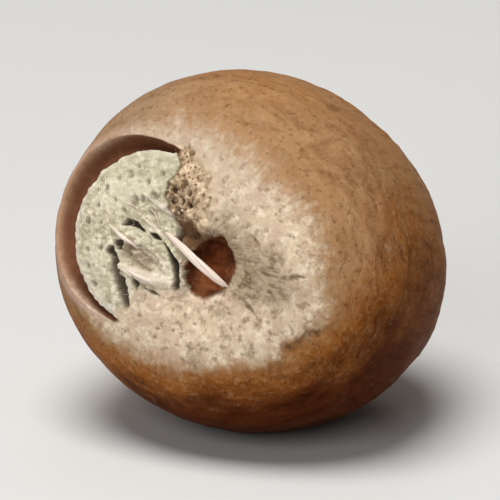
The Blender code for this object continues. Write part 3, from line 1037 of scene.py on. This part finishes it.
def make_hairs(shape, finish):
    """Fine hairs on the scar: short arcs over the base from drawn places, most of them heading
    from the scar's upper left to the pit. Those that would leave the tissue or cross the torn
    pocket are left out."""
    draw = np.random.default_rng(HAIR_SEED)
    count, stations, sides = shape.hairs, 10, 6
    turn = draw.uniform(0.0, 2.0 * math.pi, count)
    reach = 0.85 * shape.scar_radius / MM * np.sqrt(draw.uniform(0.0, 1.0, count))
    start_right = SCAR_CENTRE[0] - 1.0 + reach * np.cos(turn)
    start_up = SCAR_CENTRE[1] + reach * np.sin(turn)
    heading = draw.normal(math.radians(-45.0), 0.7, count)
    length = draw.uniform(0.5, 1.9, count)[:, None]
    bend = draw.normal(0.0, 0.5, count)
    share = np.linspace(0.0, 1.0, stations)
    angle = heading[:, None] + bend[:, None] * (share - 0.5)
    right = start_right[:, None] + length * share * np.cos(angle)
    up = start_up[:, None] + length * share * np.sin(angle)

    clear = scar_cover(right, up) * smoothstep(0.0, 1.0, above_lower_edge(right, up))
    clear = clear * smoothstep(0.97, 0.9, scar_reach(right, up, shape))
    clear = clear * smoothstep(0.8, 1.2, pocket_places(right, up)[2])
    kept = clear.min(axis=1) > 0.5
    right, up, count = right[kept], up[kept], int(kept.sum())
    lift = draw.uniform(0.03, 0.18, count)[:, None] * np.sin(math.pi * share) ** 0.7 - 0.02
    relief = top_height(right, up, shape)
    relief = relief.mean(axis=1, keepdims=True) * 0.5 + relief * 0.5
    path = nut_points(right, up, relief + lift, shape)
    thickness = draw.uniform(0.013, 0.032, count)[:, None] * (1.0 - 0.6 * share)
    grid = tube_grid(path, map_direction(right, up), thickness, thickness, sides, 0.0)
    along = np.broadcast_to(share[:, None], (count, stations, sides))
    fibre = np.zeros(grid.shape)
    fibre[..., 2] = np.arange(count)[:, None, None]
    material = strand_material(finish, "husk hair")
    return make_piece(
        "husk_hairs", lay_down(grid, shape), {"along": along}, {"fibre": fibre}, material
    )


def make_crumbs(shape, finish):
    """Crumbs of cork along the torn side: small balls whose points are pushed in and out by noise,
    scattered over the crumbled strip and most thickly next to the scar."""
    draw = np.random.default_rng(CRUMB_SEED)
    tries, rows, columns = shape.crumbs * 12, 7, 8
    right, up = draw.uniform(-4.0, 2.5, tries), draw.uniform(0.4, 8.0, tries)
    strip, inner = crumble_shares(right, up)
    likely = strip * blend(0.4, 1.0, inner) * smoothstep(2.0, 3.0, up)
    kept = np.nonzero(draw.uniform(0.15, 1.1, tries) < likely)[0][:shape.crumbs]
    right, up, count = right[kept], up[kept], len(kept)
    size = draw.gamma(2.2, 0.026, count) + 0.03
    tilt = np.linspace(0.0, math.pi, rows)[:, None]
    turn = full_turn(columns)
    ball = to_points(np.sin(tilt) * np.cos(turn), np.sin(tilt) * np.sin(turn), np.cos(tilt))
    spots = ball[None] * 1.1 + 7.0 * np.arange(count)[:, None, None, None]
    lumpy = ball[None] * (1.0 + 0.75 * gradient_noise(spots, 7))[..., None]
    stretch = draw.uniform(0.45, 1.5, (count, 1, 1, 3))
    relief = skin_relief(right, up, shape)[0]
    centre = nut_points(right, up, relief + 0.35 * size, shape)
    grid = centre[:, None, None] + size[:, None, None, None] * stretch * lumpy
    tone = draw.uniform(0.0, 1.0, count)[:, None, None]
    shares = {"tone": np.broadcast_to(tone, (count, rows, columns))}
    return make_piece("scar_crumbs", lay_down(grid, shape), shares, {}, crumb_material(finish))


# ---------------------------------------------------------------- materials

# Fixed tints, scene linear. The main colours are properties.
PINK_CREAM_TINT = (0.59, 0.43, 0.31)
PALE_GRAIN_TINT = (0.88, 0.755, 0.565)
DRAB_PATCH_TINT = (0.30, 0.225, 0.14)
STAIN_TINT = (0.31, 0.24, 0.155)
STAIN_RAY_TINT = (0.15, 0.11, 0.06)
POCK_TINT = (0.24, 0.15, 0.085)
RING_PAINTED_SHADE_TINT = (0.44, 0.34, 0.25)
LIP_TINT = (0.57, 0.38, 0.31)
UPPER_LEFT_GREY_TINT = (0.31, 0.21, 0.135)
BROAD_STREAK_TINT = (0.52, 0.42, 0.34)
FINE_STREAK_TINT = (0.55, 0.45, 0.36)
PALE_STREAK_TINT = (0.50, 0.30, 0.14)
STREAK_AND_SHADE_TINT = (0.48, 0.34, 0.25)
CREASE_TINT = (0.35, 0.25, 0.2)
DOME_LINE_TINT = (0.45, 0.35, 0.28)
PALE_MOTTLE_TINT = (0.46, 0.29, 0.15)
DARK_MOTTLE_TINT = (0.45, 0.36, 0.3)
STRIP_OUTER_TINT = (0.58, 0.435, 0.29)
STRIP_INNER_TINT = (0.56, 0.41, 0.26)
STRIP_SHADE_TINT = (0.25, 0.14, 0.065)
STRIP_LIGHT_TINT = (0.78, 0.61, 0.41)
STRIP_BEAD_TINT = (0.66, 0.53, 0.38)
HOLE_SHADE_TINT = (0.085, 0.042, 0.02)
CRACK_TINT = (0.12, 0.07, 0.03)
HOLLOW_SHADE_TINT = (0.155, 0.078, 0.038)
BRIM_AND_SHADE_TINT = (0.17, 0.09, 0.045)
PIT_WALL_SHADE_TINT = (0.095, 0.031, 0.012)
PIT_PATCH_TINT = (0.26, 0.092, 0.037)
GAP_PATCH_TINT = (0.18, 0.077, 0.04)
CORK_DULL_TINT = (0.42, 0.36, 0.245)
CORK_SPECK_TINT = (0.27, 0.22, 0.13)
CORK_DARKER_ABOVE_TINT = (0.38, 0.36, 0.23)
CORK_BAND_TINT = (0.76, 0.71, 0.54)
CORK_BEAD_TINT = (0.86, 0.79, 0.63)
POCKET_AND_SHADE_TINT = (0.25, 0.17, 0.11)
RIDGE_TINT = (0.76, 0.655, 0.54)
LARGE_PORE_TINT = (0.15, 0.11, 0.065)
PORE_AND_SLIT_SHADE_TINT = (0.06, 0.036, 0.02)
SPOT_TINT = (0.15, 0.10, 0.06)
RIM_HIGHLIGHT_TINT = (0.90, 0.80, 0.68)
TORN_WALL_SHADE_TINT = (0.12, 0.055, 0.026)
SIDE_AND_SHADE_TINT = (0.14, 0.056, 0.025)
FIBRE_LINE_TINT = (0.45, 0.27, 0.16)
FIBRE_END_TINT = (0.42, 0.27, 0.17)
CRUMB_DARK_TINT = (0.25, 0.145, 0.07)


class Finish:
    """A material with a Principled shader, and short calls for the nodes that the finishes use.
    Patterns are sized in millimetres. What a call returns is a socket of the node it adds."""

    def __init__(self, name, specular=None):
        self.material = bpy.data.materials.new(name)
        self.material.use_nodes = True
        self.tree = self.material.node_tree
        self.shader = self.tree.nodes["Principled BSDF"]
        if specular is not None:
            self.shader.inputs["Specular IOR Level"].default_value = specular
        coordinate = self.add("ShaderNodeTexCoord", {}).outputs["Object"]
        scale = {"Vector": coordinate, "Scale": (1.0 / MM,) * 3}
        self.place = self.add("ShaderNodeMapping", scale).outputs["Vector"]

    def give(self, socket, value):
        """Links a socket to another, or sets it to a plain value."""
        if isinstance(value, bpy.types.NodeSocket):
            self.tree.links.new(value, socket)
        else:
            socket.default_value = value

    def add(self, kind, inputs, **settings):
        node = self.tree.nodes.new(kind)
        for name, value in settings.items():
            setattr(node, name, value)
        for socket, value in inputs.items():
            self.give(node.inputs[socket], value)
        return node

    def share(self, name):
        """A share kept on the mesh's points."""
        return self.add("ShaderNodeAttribute", {}, attribute_name=name).outputs["Fac"]

    def vector(self, name):
        """A vector kept on the mesh's points."""
        return self.add("ShaderNodeAttribute", {}, attribute_name=name).outputs["Vector"]

    def noise(self, size, detail=3.0, roughness=0.6, place=None, stretch=None):
        """Noise from about 0 to 1, with its largest forms this many millimetres across."""
        where = place or self.place
        if stretch:
            mapping = {"Vector": where, "Scale": stretch}
            where = self.add("ShaderNodeMapping", mapping).outputs["Vector"]
        inputs = {"Vector": where, "Scale": 1.0 / size, "Detail": detail, "Roughness": roughness}
        return self.add("ShaderNodeTexNoise", inputs).outputs["Fac"]

    def step(self, value, low, high):
        """0 below low, 1 above high and an S curve between."""
        inputs = {"Value": value, "From Min": low, "From Max": high}
        node = self.add("ShaderNodeMapRange", inputs, interpolation_type="SMOOTHSTEP")
        return node.outputs["Result"]

    def patches(self, low, high, *noise):
        """Patches of a noise: 0 where it is below low and 1 where it is above high."""
        return self.step(self.noise(*noise), low, high)

    def swing(self, amount, *noise):
        """A noise about zero, times an amount."""
        return self.times(self.sum(self.noise(*noise), -0.5), amount)

    def sum(self, first, second, operation="ADD"):
        return self.add("ShaderNodeMath", {0: first, 1: second}, operation=operation).outputs[0]

    def times(self, first, *others):
        for other in others:
            first = self.sum(first, other, "MULTIPLY")
        return first

    def unsigned(self, value):
        return self.sum(value, 0.0, "ABSOLUTE")

    def mix(self, share, first, second, kind="MIX"):
        """A colour between two others. A plain colour is given as three numbers."""
        node = self.add("ShaderNodeMix", {}, data_type="RGBA", blend_type=kind)
        self.give(node.inputs[0], share)
        for socket, colour in ((node.inputs[6], first), (node.inputs[7], second)):
            plain = not isinstance(colour, bpy.types.NodeSocket)
            self.give(socket, (*colour, 1.0) if plain else colour)
        return node.outputs[2]

    def over(self, colour, share, strength, tint):
        """A colour with a tint laid over it, by a share times a strength."""
        return self.mix(self.times(share, strength), colour, tint)

    def darken(self, colour, share, strength, tint):
        """A colour multiplied by a tint, by a share times a strength."""
        return self.mix(self.times(share, strength), colour, tint, "MULTIPLY")

    def layers(self, colour, *layers):
        """A colour with tints laid over it in turn, each (the name of a share, strength, tint)."""
        for name, strength, tint in layers:
            colour = self.over(colour, self.share(name), strength, tint)
        return colour

    def bump(self, height, depth, below=None):
        """Bump of this many millimetres for a height from 0 to 1, on top of another bump."""
        inputs = {"Height": height, "Distance": depth * MM, "Strength": 1.0}
        if below:
            inputs["Normal"] = below
        return self.add("ShaderNodeBump", inputs).outputs["Normal"]

    def finish(self, colour, roughness, normal):
        for name, value in (("Base Color", colour), ("Roughness", roughness), ("Normal", normal)):
            self.give(self.shader.inputs[name], value)
        return self.material


def pale_tissue(f, finish, stain):
    """Colour of the pale ring: cream with a pinkish cast in places, pale grains and brown specks,
    which are thicker where stained."""
    cream = f.mix(f.patches(0.35, 0.65, 2.6, 4.0, 0.6), PINK_CREAM_TINT, finish.halo)
    cream = f.over(cream, f.patches(0.44, 0.68, 0.8, 4.0, 0.7), 0.8, PALE_GRAIN_TINT)
    drab = f.sum(f.noise(1.4, 4.0, 0.7), f.times(stain, 0.36))
    cream = f.over(cream, f.step(drab, 0.50, 0.84), 0.55, DRAB_PATCH_TINT)
    specks = f.sum(f.noise(0.68, 3.0, 0.65), f.times(stain, 0.06))
    cream = f.over(cream, f.step(specks, 0.53, 0.68), 0.7, finish.speck)
    return f.over(cream, stain, 0.48, STAIN_TINT)


def brown_skin(f, finish, grain, rings, streaky):
    """Colour of the brown skin: three tones, which follow the share tone and so its painted light
    and shade, then streaks along its rings, lines up its dome and mottles. Also its mottles, fine
    lines and creases, for the roughness and the bump."""
    # The tone: painted light on the upper side, painted shade below and on the right, with random
    # swings.
    tone = f.sum(f.share("tone"), f.swing(0.35, 1.5, 4.0, 0.6, rings))
    tone = f.sum(tone, f.swing(0.4, 3.0, 4.0, 0.6))
    bright = f.step(tone, 0.0, 0.5)
    colour = f.mix(bright, finish.skin_dark, finish.skin_warm)
    colour = f.mix(f.step(tone, 0.35, 1.05), colour, finish.skin_light)
    # A greyer patch at the upper left.
    colour = f.layers(colour, ("upper_left_grey", 0.7, UPPER_LEFT_GREY_TINT))

    broad = f.times(f.patches(0.46, 0.64, 0.85, 2.0, 0.5, rings, (1.0, 1.3, 1.3)), streaky)
    colour = f.darken(colour, broad, 0.62, BROAD_STREAK_TINT)
    fine_lines = f.noise(0.42, 4.0, 0.7, rings, (1.0, 1.6, 1.6))
    drawn = f.times(f.step(fine_lines, 0.49, 0.62), streaky)
    colour = f.darken(colour, drawn, 0.4, FINE_STREAK_TINT)
    drawn = f.times(f.step(fine_lines, 0.47, 0.36), streaky, bright)
    colour = f.over(colour, drawn, 0.35, PALE_STREAK_TINT)
    crease = f.unsigned(f.sum(f.noise(1.0, 2.0, 0.5, rings), -0.5))
    crease = f.times(f.step(crease, 0.035, 0.0), f.patches(0.45, 0.65, 2.4, 2.0, 0.5), streaky)
    colour = f.darken(colour, crease, 0.25, CREASE_TINT)

    dome_lines, dome = f.noise(0.8, 3.0, 0.6, grain), f.share("dome")
    drawn = f.times(f.step(dome_lines, 0.5, 0.7), dome)
    colour = f.darken(colour, drawn, 0.6, DOME_LINE_TINT)
    drawn = f.times(f.step(dome_lines, 0.48, 0.32), dome, bright)
    colour = f.over(colour, drawn, 0.4, finish.skin_light)

    # The streaks, and the broad band of painted shade above the pale ring.
    streak = f.times(f.share("streak"), f.patches(0.3, 0.7, 0.9, 3.0, 0.6, rings))
    colour = f.darken(colour, streak, 0.6, STREAK_AND_SHADE_TINT)
    mottle = f.noise(0.42, 3.0, 0.7)
    colour = f.over(colour, f.times(f.step(mottle, 0.52, 0.66), bright), 0.35, PALE_MOTTLE_TINT)
    spots = f.patches(0.54, 0.68, 0.38, 3.0, 0.7)
    colour = f.darken(colour, spots, 0.65, DARK_MOTTLE_TINT)
    colour = f.layers(colour, ("apex", 0.7, finish.halo))
    return colour, mottle, fine_lines, crease


def ring_cream(f, finish, grain):
    """Colour of the pale ring with its stain's rays, pocks and beads, darker above as painted
    shade.
    """
    stain = f.share("stain")
    cream = pale_tissue(f, finish, stain)
    rays = f.patches(0.48, 0.64, 1.0, 4.0, 0.7, grain, (1.0, 1.0, 3.0))
    cream = f.over(cream, f.times(rays, f.step(stain, 0.2, 0.9)), 0.8, STAIN_RAY_TINT)
    cream = f.layers(cream, ("pock", 0.8, POCK_TINT), ("bead", 0.3, finish.scar_light))
    # Painted shade on the ring's upper part.
    return f.layers(cream, ("darker_above", 0.5, RING_PAINTED_SHADE_TINT))


def strip_colour(f):
    """Colour of the crumbled strip: brown shade and pale crumbs, with holes darkened as painted
    shade.
    """
    inner = f.share("inner")
    colour = f.mix(inner, STRIP_OUTER_TINT, STRIP_INNER_TINT)
    shade = f.sum(f.times(inner, 0.3), 0.32)
    colour = f.over(colour, f.patches(0.47, 0.58, 0.85, 4.0, 0.7), shade, STRIP_SHADE_TINT)
    colour = f.over(colour, f.patches(0.48, 0.60, 0.55, 3.0, 0.65), 0.85, STRIP_LIGHT_TINT)
    colour = f.layers(colour, ("bead", 0.4, STRIP_BEAD_TINT))
    return f.mix(f.share("hole"), colour, HOLE_SHADE_TINT)


def skin_material(finish):
    """Chestnut skin, tan above and dark below as painted light and shade, with blotches, streaks
    along its rings and up its dome, and fine mottles; the pale grainy ring round the pit; the
    crumbled strip; the pit and gap, with painted shade in them and painted light deep in the pit."""
    f = Finish("betel nut skin", specular=0.02)
    grain, rings, streaky = f.vector("grain"), f.vector("rings"), f.share("streaky")
    colour, mottle, fine_lines, crease = brown_skin(f, finish, grain, rings, streaky)

    # The pale ring, feathered into the skin along the grain.
    feather = f.sum(f.swing(0.6, 0.6, 4.0, 0.65, grain), f.swing(0.8, 0.8, 5.0, 0.7))
    pale = f.step(f.sum(f.share("halo"), feather), 0.05, 0.95)
    colour = f.mix(pale, colour, ring_cream(f, finish, grain))
    colour = f.layers(colour, ("lip", 0.75, LIP_TINT))

    # The crumbled strip, the cracks, the hollow, the pit and the gap.
    colour = f.mix(f.step(f.share("crumble"), 0.05, 0.95), colour, strip_colour(f))
    crack = f.times(f.share("crack"), f.patches(0.36, 0.56, 0.5, 4.0, 0.7))
    colour = f.over(colour, crack, 0.75, CRACK_TINT)
    # Painted shade in the hollow down into the pit.
    hollow = f.sum(f.share("hollow"), f.swing(1.2, 0.6, 3.0, 0.65))
    colour = f.over(colour, f.step(hollow, 0.05, 0.95), 0.95, HOLLOW_SHADE_TINT)
    # The brim: brown round the pit's upper rim, partly painted shade.
    brim = f.times(f.share("brim"), f.patches(0.36, 0.60, 0.6, 3.0, 0.65))
    colour = f.over(colour, brim, 0.5, BRIM_AND_SHADE_TINT)
    pit = f.share("pit")
    # The pit's inside: painted shade on its walls near the rim and painted light deep down, with
    # lighter brown patches.
    pit_tint = f.mix(f.step(pit, 0.45, 1.05), PIT_WALL_SHADE_TINT, finish.pit)
    pit_tint = f.over(pit_tint, f.patches(0.45, 0.62, 1.0, 4.0, 0.6), 0.6, PIT_PATCH_TINT)
    colour = f.mix(f.step(pit, 0.03, 0.26), colour, pit_tint)
    # The gap's walls: dark brown, darkened further as painted shade in the groove.
    gap = f.share("gap")
    gap_tint = f.mix(f.patches(0.45, 0.75, 0.6, 4.0, 0.6), finish.gap, GAP_PATCH_TINT)
    colour = f.mix(gap, colour, gap_tint)

    rough = f.sum(f.times(f.sum(mottle, -0.5), 0.25), 0.50)
    rough = f.sum(f.sum(rough, f.times(pale, 0.25)), f.times(gap, 0.3))
    normal = f.bump(f.noise(0.30, 4.0, 0.65), 0.035)
    normal = f.bump(f.times(fine_lines, streaky), 0.06, normal)
    normal = f.bump(f.times(crease, -1.0), 0.05, normal)
    normal = f.bump(f.noise(0.09, 2.0, 0.6), 0.012, normal)
    return f.finish(colour, rough, normal)


def scar_material(finish):
    """Corky cream tissue with pale beads; painted shade in its pores, slits and torn wall; a
    painted highlight on its rim; and brown down its sides, partly painted shade.
    """
    f = Finish("corky scar", specular=0.3)
    colour = f.mix(f.patches(0.35, 0.65, 1.5, 4.0, 0.6), CORK_DULL_TINT, finish.scar)
    colour = f.over(colour, f.patches(0.46, 0.62, 0.6, 3.0, 0.65), 0.8, finish.scar_light)
    colour = f.over(colour, f.patches(0.52, 0.64, 0.45, 3.0, 0.65), 0.6, CORK_SPECK_TINT)
    colour = f.layers(
        colour,
        ("darker_above", 0.3, CORK_DARKER_ABOVE_TINT),
        ("light", 0.4, CORK_BAND_TINT),
        ("pocket", 0.85, POCKET_AND_SHADE_TINT),
        ("ridge", 0.6, RIDGE_TINT),
        ("spot", 0.7, LARGE_PORE_TINT),
    )
    colour = f.mix(f.share("merge"), colour, pale_tissue(f, finish, 0.0))
    # Painted shade in the pores and slits and on the torn wall, and a painted highlight on the rim.
    colour = f.layers(
        colour,
        ("bead", 0.25, CORK_BEAD_TINT),
        ("stain", 1.0, SPOT_TINT),
        ("pore_and_slit_shade", 0.92, PORE_AND_SLIT_SHADE_TINT),
        ("rim", 0.6, RIM_HIGHLIGHT_TINT),
        ("wall", 1.0, TORN_WALL_SHADE_TINT),
    )
    # The side down into the gap: dark brown, partly painted shade.
    colour = f.mix(f.step(f.share("side"), 0.1, 0.5), colour, SIDE_AND_SHADE_TINT)
    normal = f.bump(f.noise(0.22, 4.0, 0.7), 0.05)
    normal = f.bump(f.noise(0.07, 2.0, 0.6), 0.015, normal)
    return f.finish(colour, 0.82, normal)


def strand_material(finish, name):
    """Pale husk fibre, with brown lines along it and browner ends."""
    f = Finish(name, specular=0.35)
    lines = f.noise(0.5, 3.0, 0.6, f.vector("fibre"), (1.0, 1.0, 0.3))
    colour = f.mix(f.step(lines, 0.45, 0.75), finish.strand, FIBRE_LINE_TINT)
    ends = f.step(f.unsigned(f.sum(f.share("along"), -0.5)), 0.36, 0.5)
    colour = f.over(colour, ends, 0.5, FIBRE_END_TINT)
    return f.finish(colour, 0.62, f.bump(lines, 0.03))


def crumb_material(finish):
    """Crumbs from cream to brown, each with its own tone."""
    f = Finish("cork crumb")
    tone = f.sum(f.share("tone"), f.swing(0.5, 0.2, 2.0, 0.6))
    colour = f.mix(f.step(tone, 0.2, 1.2), CRUMB_DARK_TINT, finish.crumb)
    return f.finish(colour, 0.8, f.bump(f.noise(0.1, 3.0, 0.65), 0.03))


def plain_material(name, colour, roughness):
    f = Finish(name)
    return f.finish((*colour, 1.0), roughness, f.bump(f.noise(40.0, 2.0), 0.01))


# ---------------------------------------------------------------- the stage

# The view: turned to the nut's right and raised, from far off, so that its lines stay parallel.
VIEW_AZIMUTH = math.radians(25.0)
VIEW_ELEVATION = math.radians(19.0)
VIEW_DISTANCE = 0.6
VIEW_WIDTH = 0.0365
AIM = (-0.0007, -0.0003, 0.0126)
SENSOR = 36.0
# Each lamp: its azimuth and elevation in degrees, distance and size in metres, and power in watts.
LAMPS = {
    "key": (-15.0, 78.0, 0.55, 0.34, 3.19),
    "front": (0.0, 28.0, 0.60, 0.35, 1.25),
    "rim": (-160.0, 50.0, 0.60, 0.30, 0.3),
}
FLOOR_REACH = 3.0
SKY_COLOUR = (1.0, 0.985, 0.96, 1.0)
SKY_STRENGTH = 0.08


def from_angles(azimuth, elevation):
    """The direction to what is at this azimuth and elevation. Azimuth 0 is -Y, 90 degrees +X."""
    flat = math.cos(elevation)
    return Vector((math.sin(azimuth) * flat, -math.cos(azimuth) * flat, math.sin(elevation)))


def aim(thing, place, target):
    thing.location = place
    thing.rotation_euler = (target - place).to_track_quat("-Z", "Y").to_euler()


def make_floor(finish):
    sides = ((-1, -1), (1, -1), (1, 1), (-1, 1))
    corners = [(across * FLOOR_REACH, back * FLOOR_REACH, 0.0) for across, back in sides]
    mesh = bpy.data.meshes.new("floor")
    mesh.from_pydata(corners, [], [(0, 1, 2, 3)])
    mesh.materials.append(plain_material("plain floor", finish.floor, 0.85))
    floor = add_object("floor", mesh)


def make_lamps(target):
    for name, (azimuth, elevation, distance, size, power) in LAMPS.items():
        lamp = bpy.data.lights.new(name, "AREA")
        lamp.shape = "DISK"
        lamp.size = size
        lamp.energy = power
        holder = add_object(name, lamp)
        way = from_angles(math.radians(azimuth), math.radians(elevation))
        aim(holder, target + way * distance, target)


def make_camera(target):
    lens = bpy.data.cameras.new("camera")
    lens.sensor_width = SENSOR
    lens.lens = SENSOR * VIEW_DISTANCE / VIEW_WIDTH
    lens.clip_start = 0.01
    camera = add_object("camera", lens)
    aim(camera, target + from_angles(VIEW_AZIMUTH, VIEW_ELEVATION) * VIEW_DISTANCE, target)
    bpy.context.scene.camera = camera


def make_world():
    world = bpy.data.worlds.new("studio")
    world.use_nodes = True
    background = world.node_tree.nodes["Background"]
    background.inputs["Color"].default_value = SKY_COLOUR
    background.inputs["Strength"].default_value = SKY_STRENGTH
    bpy.context.scene.world = world
    bpy.context.scene.view_settings.view_transform = "Standard"


# ---------------------------------------------------------------- operators


class NutOperator:
    """What the operators share: undo, and the scene's two property groups."""

    bl_options = {"REGISTER", "UNDO"}

    def groups(self, context):
        return context.scene.betel_nut_shape, context.scene.betel_nut_finish


class BETELNUT_OT_skin(NutOperator, bpy.types.Operator):
    """Add the nut's skin, with the pale ring, the gap and the germ pit"""

    bl_idname = "betelnut.skin"
    bl_label = "Skin"

    def execute(self, context):
        make_skin(*self.groups(context))
        return {"FINISHED"}


class BETELNUT_OT_scar(NutOperator, bpy.types.Operator):
    """Add the corky tissue of the scar"""

    bl_idname = "betelnut.scar"
    bl_label = "Corky Scar"

    def execute(self, context):
        make_scar(*self.groups(context))
        return {"FINISHED"}


class BETELNUT_OT_strands(NutOperator, bpy.types.Operator):
    """Add the thick husk strands and the fine hairs"""

    bl_idname = "betelnut.strands"
    bl_label = "Husk Strands"

    def execute(self, context):
        make_strands(*self.groups(context))
        make_hairs(*self.groups(context))
        return {"FINISHED"}


class BETELNUT_OT_crumbs(NutOperator, bpy.types.Operator):
    """Add the crumbs along the scar's torn side"""

    bl_idname = "betelnut.crumbs"
    bl_label = "Crumbs"

    def execute(self, context):
        make_crumbs(*self.groups(context))
        return {"FINISHED"}


class BETELNUT_OT_stage(NutOperator, bpy.types.Operator):
    """Add the floor, the lamps and the camera"""

    bl_idname = "betelnut.stage"
    bl_label = "Stage"

    def execute(self, context):
        finish = self.groups(context)[1]
        target = Vector(AIM)
        make_floor(finish)
        make_lamps(target)
        make_camera(target)
        make_world()
        return {"FINISHED"}


class BETELNUT_PT_panel(bpy.types.Panel):
    """Sidebar panel with the nut's sizes, colours and pieces"""

    bl_idname = "BETELNUT_PT_panel"
    bl_label = "Dried Betel Nut"
    bl_space_type = "VIEW_3D"
    bl_region_type = "UI"
    bl_category = "Betel Nut"

    def draw(self, context):
        for group in (context.scene.betel_nut_shape, context.scene.betel_nut_finish):
            column = self.layout.column(align=True)
            for name in group.__annotations__:
                column.prop(group, name)
        for operator in OPERATORS:
            self.layout.operator(operator.bl_idname)


OPERATORS = (
    BETELNUT_OT_skin,
    BETELNUT_OT_scar,
    BETELNUT_OT_strands,
    BETELNUT_OT_crumbs,
    BETELNUT_OT_stage,
)
CLASSES = (BetelNutShape, BetelNutFinish, *OPERATORS, BETELNUT_PT_panel)


def register():
    for item in CLASSES:
        bpy.utils.register_class(item)
    bpy.types.Scene.betel_nut_shape = bpy.props.PointerProperty(type=BetelNutShape)
    bpy.types.Scene.betel_nut_finish = bpy.props.PointerProperty(type=BetelNutFinish)


def unregister():
    del bpy.types.Scene.betel_nut_finish
    del bpy.types.Scene.betel_nut_shape
    for item in reversed(CLASSES):
        bpy.utils.unregister_class(item)


def main():
    register()
    bpy.ops.betelnut.stage()
    bpy.ops.betelnut.skin()
    bpy.ops.betelnut.scar()
    bpy.ops.betelnut.strands()
    bpy.ops.betelnut.crumbs()


if __name__ == "__main__":
    main()
